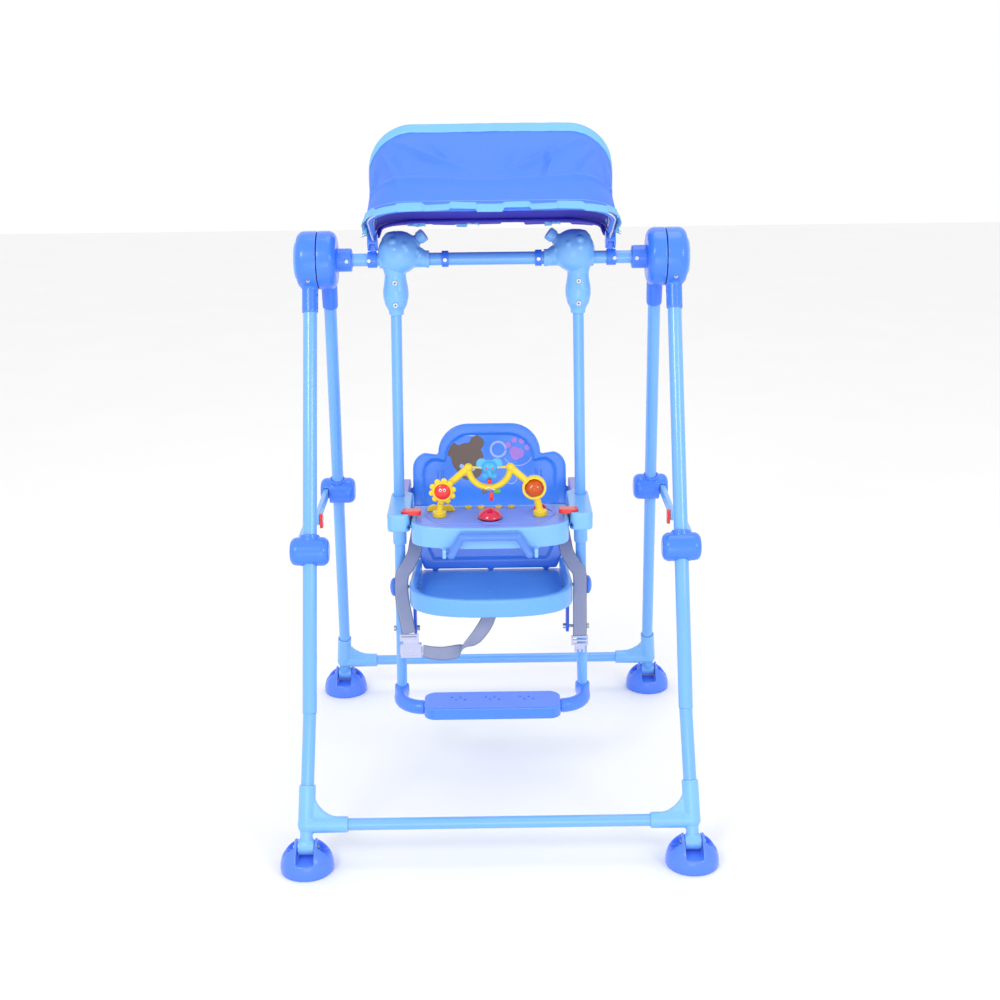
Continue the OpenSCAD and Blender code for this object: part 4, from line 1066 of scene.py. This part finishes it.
def harness(f):
    """Two shoulder straps and the crotch strap, which turns over on its way to the buckle."""
    webs, seams = [], []
    twists = [math.radians(20 * k) for k in range(1, 6)]
    turning = [(1, 0, 0)] * 3 + [(math.cos(a), 0, math.sin(a)) for a in twists]
    for name, points, sides in (
        ("strap_right", RIGHT_STRAP, [(1, 0, 0)] * len(RIGHT_STRAP)),
        ("strap_left", LEFT_STRAP, [(1, 0.15, 0)] * len(LEFT_STRAP)),
        ("strap_crotch", CROTCH_STRAP, turning),
    ):
        web, edges = ribbon(name, [(x + SWING_X / MM, y, z) for x, y, z in points], sides)
        webs.append(web)
        seams += edges
    dress(join("harness_webbing", webs), f["webbing"], "swing", ["harness_straps"])
    sizes = {"Pitch": 3.0 * MM, "Stitch length": 2.1 * MM, "Thread": 0.4 * MM}
    host = line_mesh("strap_seams", seams)
    grow("harness_stitches", stitch_tree(), host, f["thread"], "swing", sizes)
    buckles(f)


def buckles(f):
    """Slide adjusters, and the side-release buckle's socket and plug. All numbers are in millimetres."""

    def box(x0, x1, y0, y1, z0, z1):
        block(bm, ((x0 * MM) + SWING_X, y0 * MM, z0 * MM), ((x1 * MM) + SWING_X, y1 * MM, z1 * MM))

    def adjuster(x0, x1, y0, y1, z0, z1, rail=3.2, inset=1.5):
        for z in (z0, (z0 + z1) / 2 - rail / 2, z1 - rail):
            box(x0, x1, y0 + inset, y1 - inset, z, z + rail)
        for x in (x0, x1 - rail):
            box(x, x + rail, y0 + inset, y1 - inset, z0, z1)

    bm = bmesh.new()
    adjuster(146, 177, -34, -25, 258, 275.7)
    box(153, 170, -32.5, -26.5, 250, 259)
    box(152, 156, -32, -27, 243.5, 258)
    box(167, 171, -32, -27, 243.5, 258)
    box(159.5, 163.5, -31.5, -27.5, 244.5, 258)
    adjuster(-166, -132, -64, -54, 282, 295)
    box(-165, -127, -65, -53, 251, 277)
    box(-160, -132, -63, -55, 274, 283)
    for x in (-166.5, -128):
        box(x, x + 3, -62, -56, 257, 270)
    buckle_set = fused("harness_buckle_set", bm, 0.75 * MM, 4)
    dress(buckle_set, f["buckle"], "swing", ["harness_buckles"])
    bm = bmesh.new()
    box(-158, -134, -65.7, -64.4, 256, 258)
    box(-158, -134, -65.7, -64.4, 271, 273)
    ball(bm, ((-146 * MM) + SWING_X, -64.9 * MM, 264.5 * MM), (6 * MM, 1.2 * MM, 4.6 * MM))
    dress(fused("buckle_relief", bm, 0.45 * MM, 3), f["buckle"], "swing")


# ---- Backrest prints and toys ----
PANEL_DEPTH = 4
BACK_LEAN = math.radians(10)
BACK_FOOT = Vector((SWING_X, 97 * MM, 364 * MM))


def on_back(x, z, lift=0.0):
    """A point on the recessed front of the backrest, x across and z up the panel, in millimetres."""
    y = (PANEL_DEPTH - lift) * MM
    ahead, up = math.sin(BACK_LEAN), math.cos(BACK_LEAN)
    return BACK_FOOT + Vector((x * MM, y * up + z * MM * ahead, z * MM * up - y * ahead))


def blob_outline(circles, centre, turn=0.0, steps=72):
    """The outer outline of overlapping circles, seen from a centre inside them."""
    points = []
    for k in range(steps):
        a = 2 * math.pi * k / steps
        d = Vector((math.cos(a), math.sin(a)))
        far = 0.0
        for x, z, r in circles:
            c = Vector((x, z))
            along = c.dot(d)
            gap = r * r - (c.length_squared - along * along)
            if gap > 0:
                far = max(far, along + math.sqrt(gap))
        p = Matrix.Rotation(turn, 2) @ (d * far)
        points.append((centre[0] + p.x, centre[1] + p.y))
    return points


def print_mesh(name, outlines, thick):
    """Flat printed shapes, a little proud of the panel. Each outline is a closed list of (x, z)."""
    bm = bmesh.new()
    for outline in outlines:
        under = [bm.verts.new(on_back(x, z, 0.02)) for x, z in outline]
        over = [bm.verts.new(on_back(x, z, thick)) for x, z in outline]
        bm.faces.new(over)
        bm.faces.new(under[::-1])
        for i in range(len(outline)):
            j = (i + 1) % len(outline)
            bm.faces.new((under[i], under[j], over[j], over[i]))
    bmesh.ops.recalc_face_normals(bm, faces=bm.faces)
    mesh = bpy.data.meshes.new(name)
    bm.to_mesh(mesh)
    bm.free()
    return mesh


def ring_outline(x, z, r, wide, start, end, steps=48):
    """An arc-shaped band of ink, from start to end in degrees."""
    turns = [math.radians(start + (end - start) * k / steps) for k in range(steps)]
    outer = [(x + r * math.cos(a), z + r * math.sin(a)) for a in turns]
    inner = [(x + (r - wide) * math.cos(a), z + (r - wide) * math.sin(a)) for a in turns]
    return outer + inner[::-1]


def backrest_prints(f):
    """A bear's head, a paw and pale rings, all plain shapes of printed film, and raised mouldings."""

    def film(name, finish, outlines, thick=0.5):
        piece = add_object(name, print_mesh(name, outlines, thick))
        dress(piece, f[finish], "swing", smooth=False)

    head = blob_outline([(0, 0, 30), (24, 24, 14), (-24, 24, 14), (0, -16, 25)], (-41, 209), math.radians(14))
    film("bear_print", "brown", [head])
    features = ((-52, 195, 4.2), (-31, 190, 4.2), (-44, 182, 6.0))
    film("bear_face", "pale", [blob_outline([(0, 0, r)], (x, z)) for x, z, r in features], 0.9)
    pad = blob_outline([(-5, 0, 9), (5, 0, 9), (0, -6, 9)], (52, 220), math.radians(-22))
    tips = ((-16, 10), (-5, 19), (9, 17), (19, 5))
    toes = [blob_outline([(0, 0, 5.2)], (52 + x, 224 + z)) for x, z in tips]
    film("paw_print", "purple", [pad, *toes])
    rings = [
        ring_outline(54, 224, 30, 1.6, -150, 40),
        ring_outline(17, 226, 16, 4, 0, 359),
        ring_outline(-41, 206, 50, 4, 72, 146),
        ring_outline(40, 172, 12, 1.6, 0, 359),
    ]
    film("ring_prints", "pale", rings, 0.45)

    ridges = []

    def ridge(places, steps, radius):
        line = curve_through([on_back(x, z, -0.5) for x, z in places], steps)
        ridges.append(add_object("ridge", piping("ridge", line, radius * MM)))

    for side in (-1, 1):
        ridge([(side * x, z) for x, z in ((88, 190), (89, 160), (91, 120), (96, 100))], 10, 2.6)
        ridge([(side * x, z) for x, z in ((97, 188), (98, 160), (100, 122), (104, 104))], 10, 1.8)
    ridge([(-96, 100), (-60, 92), (0, 90), (60, 92), (96, 100)], 12, 2.4)
    piece = join("backrest_ridges", ridges)
    dress(cast(piece, 0.7 * MM, 3), f["back"], "swing")


def sunflower(f):
    """Petals round a beaded rim, and a red face with eyes."""
    centre = Vector(JOINT["sunflower_turn"]["pos_m"])
    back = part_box("sunflower")[1].y - 12 * MM
    petals, beads, rim = 10, 48, 15.6 * MM
    bm = bmesh.new()
    rod(bm, (centre.x, back + 12 * MM, centre.z), (centre.x, back - 2 * MM, centre.z), 2 * MM)
    rod(bm, (centre.x, back, centre.z), (centre.x, back - 5.5 * MM, centre.z), 16.5 * MM)
    for k in range(petals):
        a = 2 * math.pi * (k + 0.25) / petals
        out = Vector((math.cos(a), 0, math.sin(a)))
        tip = centre + out * 18.5 * MM
        ball(bm, (tip.x, back - 3 * MM, tip.z), (5.4 * MM, 3.0 * MM, 5.4 * MM))
    for k in range(beads):
        a = 2 * math.pi * k / beads
        ball(bm, (centre.x + rim * math.cos(a), back - 6 * MM, centre.z + rim * math.sin(a)), 1.9 * MM)
    flower = fused("sunflower_petals", bm, 0.6 * MM, 4)
    dress(flower, f["yellow"], "sunflower", ["sunflower"])
    bm = bmesh.new()
    ball(bm, (centre.x, back - 5 * MM, centre.z), (14.2 * MM, 5.4 * MM, 14.2 * MM))
    dress(fused("sunflower_face", bm, 0.6 * MM, 3), f["red"], "sunflower")
    middle = centre + Vector((0, back - centre.y - 9.6 * MM, 4 * MM))
    eyes("sunflower_eyes", f, "sunflower", middle, 3.6 * MM, 2.6 * MM)


def dial_and_spinner(f):
    """Glints in the clear dial ball, and the spinner's eyes and trunk."""
    dial = Vector(JOINT["toy_dial_turn"]["pos_m"])
    eyes("dial_glints", f, "toy_dial", dial + Vector((0, -13.4 * MM, 3.5 * MM)), 5.5 * MM, 1.5 * MM)
    spinner = Vector(JOINT["spinner_turn"]["pos_m"])
    eye_size = (1.5 * MM, 1.2 * MM, 1.7 * MM)
    bm = bmesh.new()
    for side in (-1, 1):
        ball(bm, (spinner.x + side * 5.2 * MM, spinner.y - 12.0 * MM, spinner.z + 1.5 * MM), eye_size)
    dress(fused("spinner_eyes", bm, 0.35 * MM, 2), f["red"], "spinner_toy")
    route = ((0, -12, -1), (0, -15.5, -3), (1, -17, -8), (3, -16.5, -12))
    line = curve_through([spinner + Vector(p) * MM for p in route], 8)
    trunk = cast(add_object("spinner_trunk", piping("spinner_trunk", line, 2.6 * MM)), 0.5 * MM, 3)
    dress(trunk, f["toy_blue"], "spinner_toy")


def charms(f):
    """Small charms on a string below the middle of the toy arch. Offsets and sizes are in millimetres."""
    spinner = Vector(JOINT["spinner_turn"]["pos_m"])
    dip = Vector((spinner.x, spinner.y, spinner.z - 36 * MM))
    for name, finish, beads in (
        ("red", "red", (((0, -6, 13), (4.6, 4, 4.6)), ((3, -5, -15), (4.2, 2.2, 8.5)))),
        ("green", "green", (((13, -5, -6), (6.5, 2.2, 4.6)),)),
        ("orange", "brown", (((-9, -5, -6), (5.0, 2.2, 4.0)),)),
    ):
        bm = bmesh.new()
        for offset, size in beads:
            place, radii = dip + Vector(offset) * MM, [x * MM for x in size]
            ball(bm, place, radii)
            ball(bm, place + Vector((0, 3.5 * MM, 0)), [x * 0.5 for x in radii])
        dress(fused("charm_" + name, bm, 0.6 * MM, 3), f[finish], "tray")
    route = ((-9, -4, -4), (-4, -6.5, 1), (2, -7, 1), (6, -6, -2), (12, -4.5, -4))
    cord = curve_through([dip + Vector(p) * MM for p in route], 8)
    string = add_object("charm_string", piping("charm_string", cord, 0.9 * MM))
    dress(string, f["white"], "tray")


def half_disc(f):
    """The red half disc that stands on the tray behind the dial."""
    x = SWING_X + 88 * MM
    bm = bmesh.new()
    rod(bm, (x, -64 * MM, TRAY_TOP), (x, -70 * MM, TRAY_TOP), 12 * MM)
    piece = fused("red_half_disc", bm, 0.7 * MM, 3)
    cut_below(piece, TRAY_TOP + 0.05 * MM)
    dress(piece, f["red"], "tray")


def cut_below(piece, z):
    """Cuts a piece off flat at a height and closes the cut."""
    bm = bmesh.new()
    bm.from_mesh(piece.data)
    parts = list(bm.verts) + list(bm.edges) + list(bm.faces)
    cut = bmesh.ops.bisect_plane(bm, geom=parts, plane_co=(0, 0, z), plane_no=(0, 0, -1), clear_outer=True)
    bmesh.ops.holes_fill(bm, edges=[e for e in bm.edges if e.is_boundary], sides=0)
    bm.to_mesh(piece.data)
    bm.free()


def eyes(name, f, body, centre, apart, size):
    """Two white balls with dark pupils."""
    for part, material, scale, ahead in (("whites", "white", 1.0, 0.0), ("pupils", "black", 0.5, 0.9)):
        bm = bmesh.new()
        for side in (-1, 1):
            place = centre + Vector((side * apart, -ahead * size * 0.6, 0))
            ball(bm, place, (size * scale, size * 0.6 * scale, size * 1.15 * scale))
        dress(fused(f"{name}_{part}", bm, size * 0.16, 2), f[material], body)


def tray_reliefs(f):
    """Raised outlines round the toys' bases, a line inside the panel's edge and the dome button's collar."""
    z = TRAY_TOP + 0.2 * MM
    lines = []
    for x in (-88, 88):
        turns = np.linspace(0, 2 * math.pi, 49)
        oval = [(SWING_X + (x + 22 * math.cos(a)) * MM, (-88 + 30 * math.sin(a)) * MM, z) for a in turns]
        lines.append([Vector(p) for p in oval])
    half, back, front, knee = 112, -46, -146, -96
    left = [(-half, back), (-half, knee), (-half + 22, front + 10), (-half + 56, front)]
    rim = left + [(-x, y) for x, y in reversed(left)]
    lines.append(curve_through([Vector((SWING_X + x * MM, y * MM, z)) for x, y in rim], 10))
    pieces = [add_object("relief", piping("relief", line, 1.1 * MM, 10)) for line in lines]
    dress(join("panel_reliefs", pieces), f["panel"], "tray")
    beads, ring, bead = 40, 22.2 * MM, (1.9 * MM, 1.9 * MM, 1.7 * MM)
    bm = bmesh.new()
    for k in range(beads):
        a = 2 * math.pi * k / beads
        ball(bm, (SWING_X + ring * math.cos(a), -119 * MM + ring * math.sin(a), TRAY_TOP), bead)
    dress(fused("dome_collar", bm, 0.5 * MM, 3), f["panel"], "tray")


def floor():
    """A plain pale floor."""
    mesh = bpy.data.meshes.new("floor")
    size = 9
    corners = [(-size, -size, 0), (size, -size, 0), (size, size, 0), (-size, size, 0)]
    mesh.from_pydata(corners, [], [(0, 1, 2, 3)])
    piece = add_object("floor", mesh)
    f = Finish("studio_floor")
    f.paint(f.tint((0.9, 0.9, 0.9), (0.93, 0.93, 0.93), f.cloud(3, 2)), f.between(0.7, 0.8, f.cloud(30, 2)))
    piece.data.materials.append(f.material)


camera()
studio()
floor()
finishes = make_finishes()
metalwork(finishes)
mouldings(finishes)
swing_cover_knobs(finishes)
screws(finishes)
hanger_details(finishes)
canopy(finishes)
harness(finishes)
backrest_prints(finishes)
sunflower(finishes)
dial_and_spinner(finishes)
charms(finishes)
half_disc(finishes)
tray_reliefs(finishes)
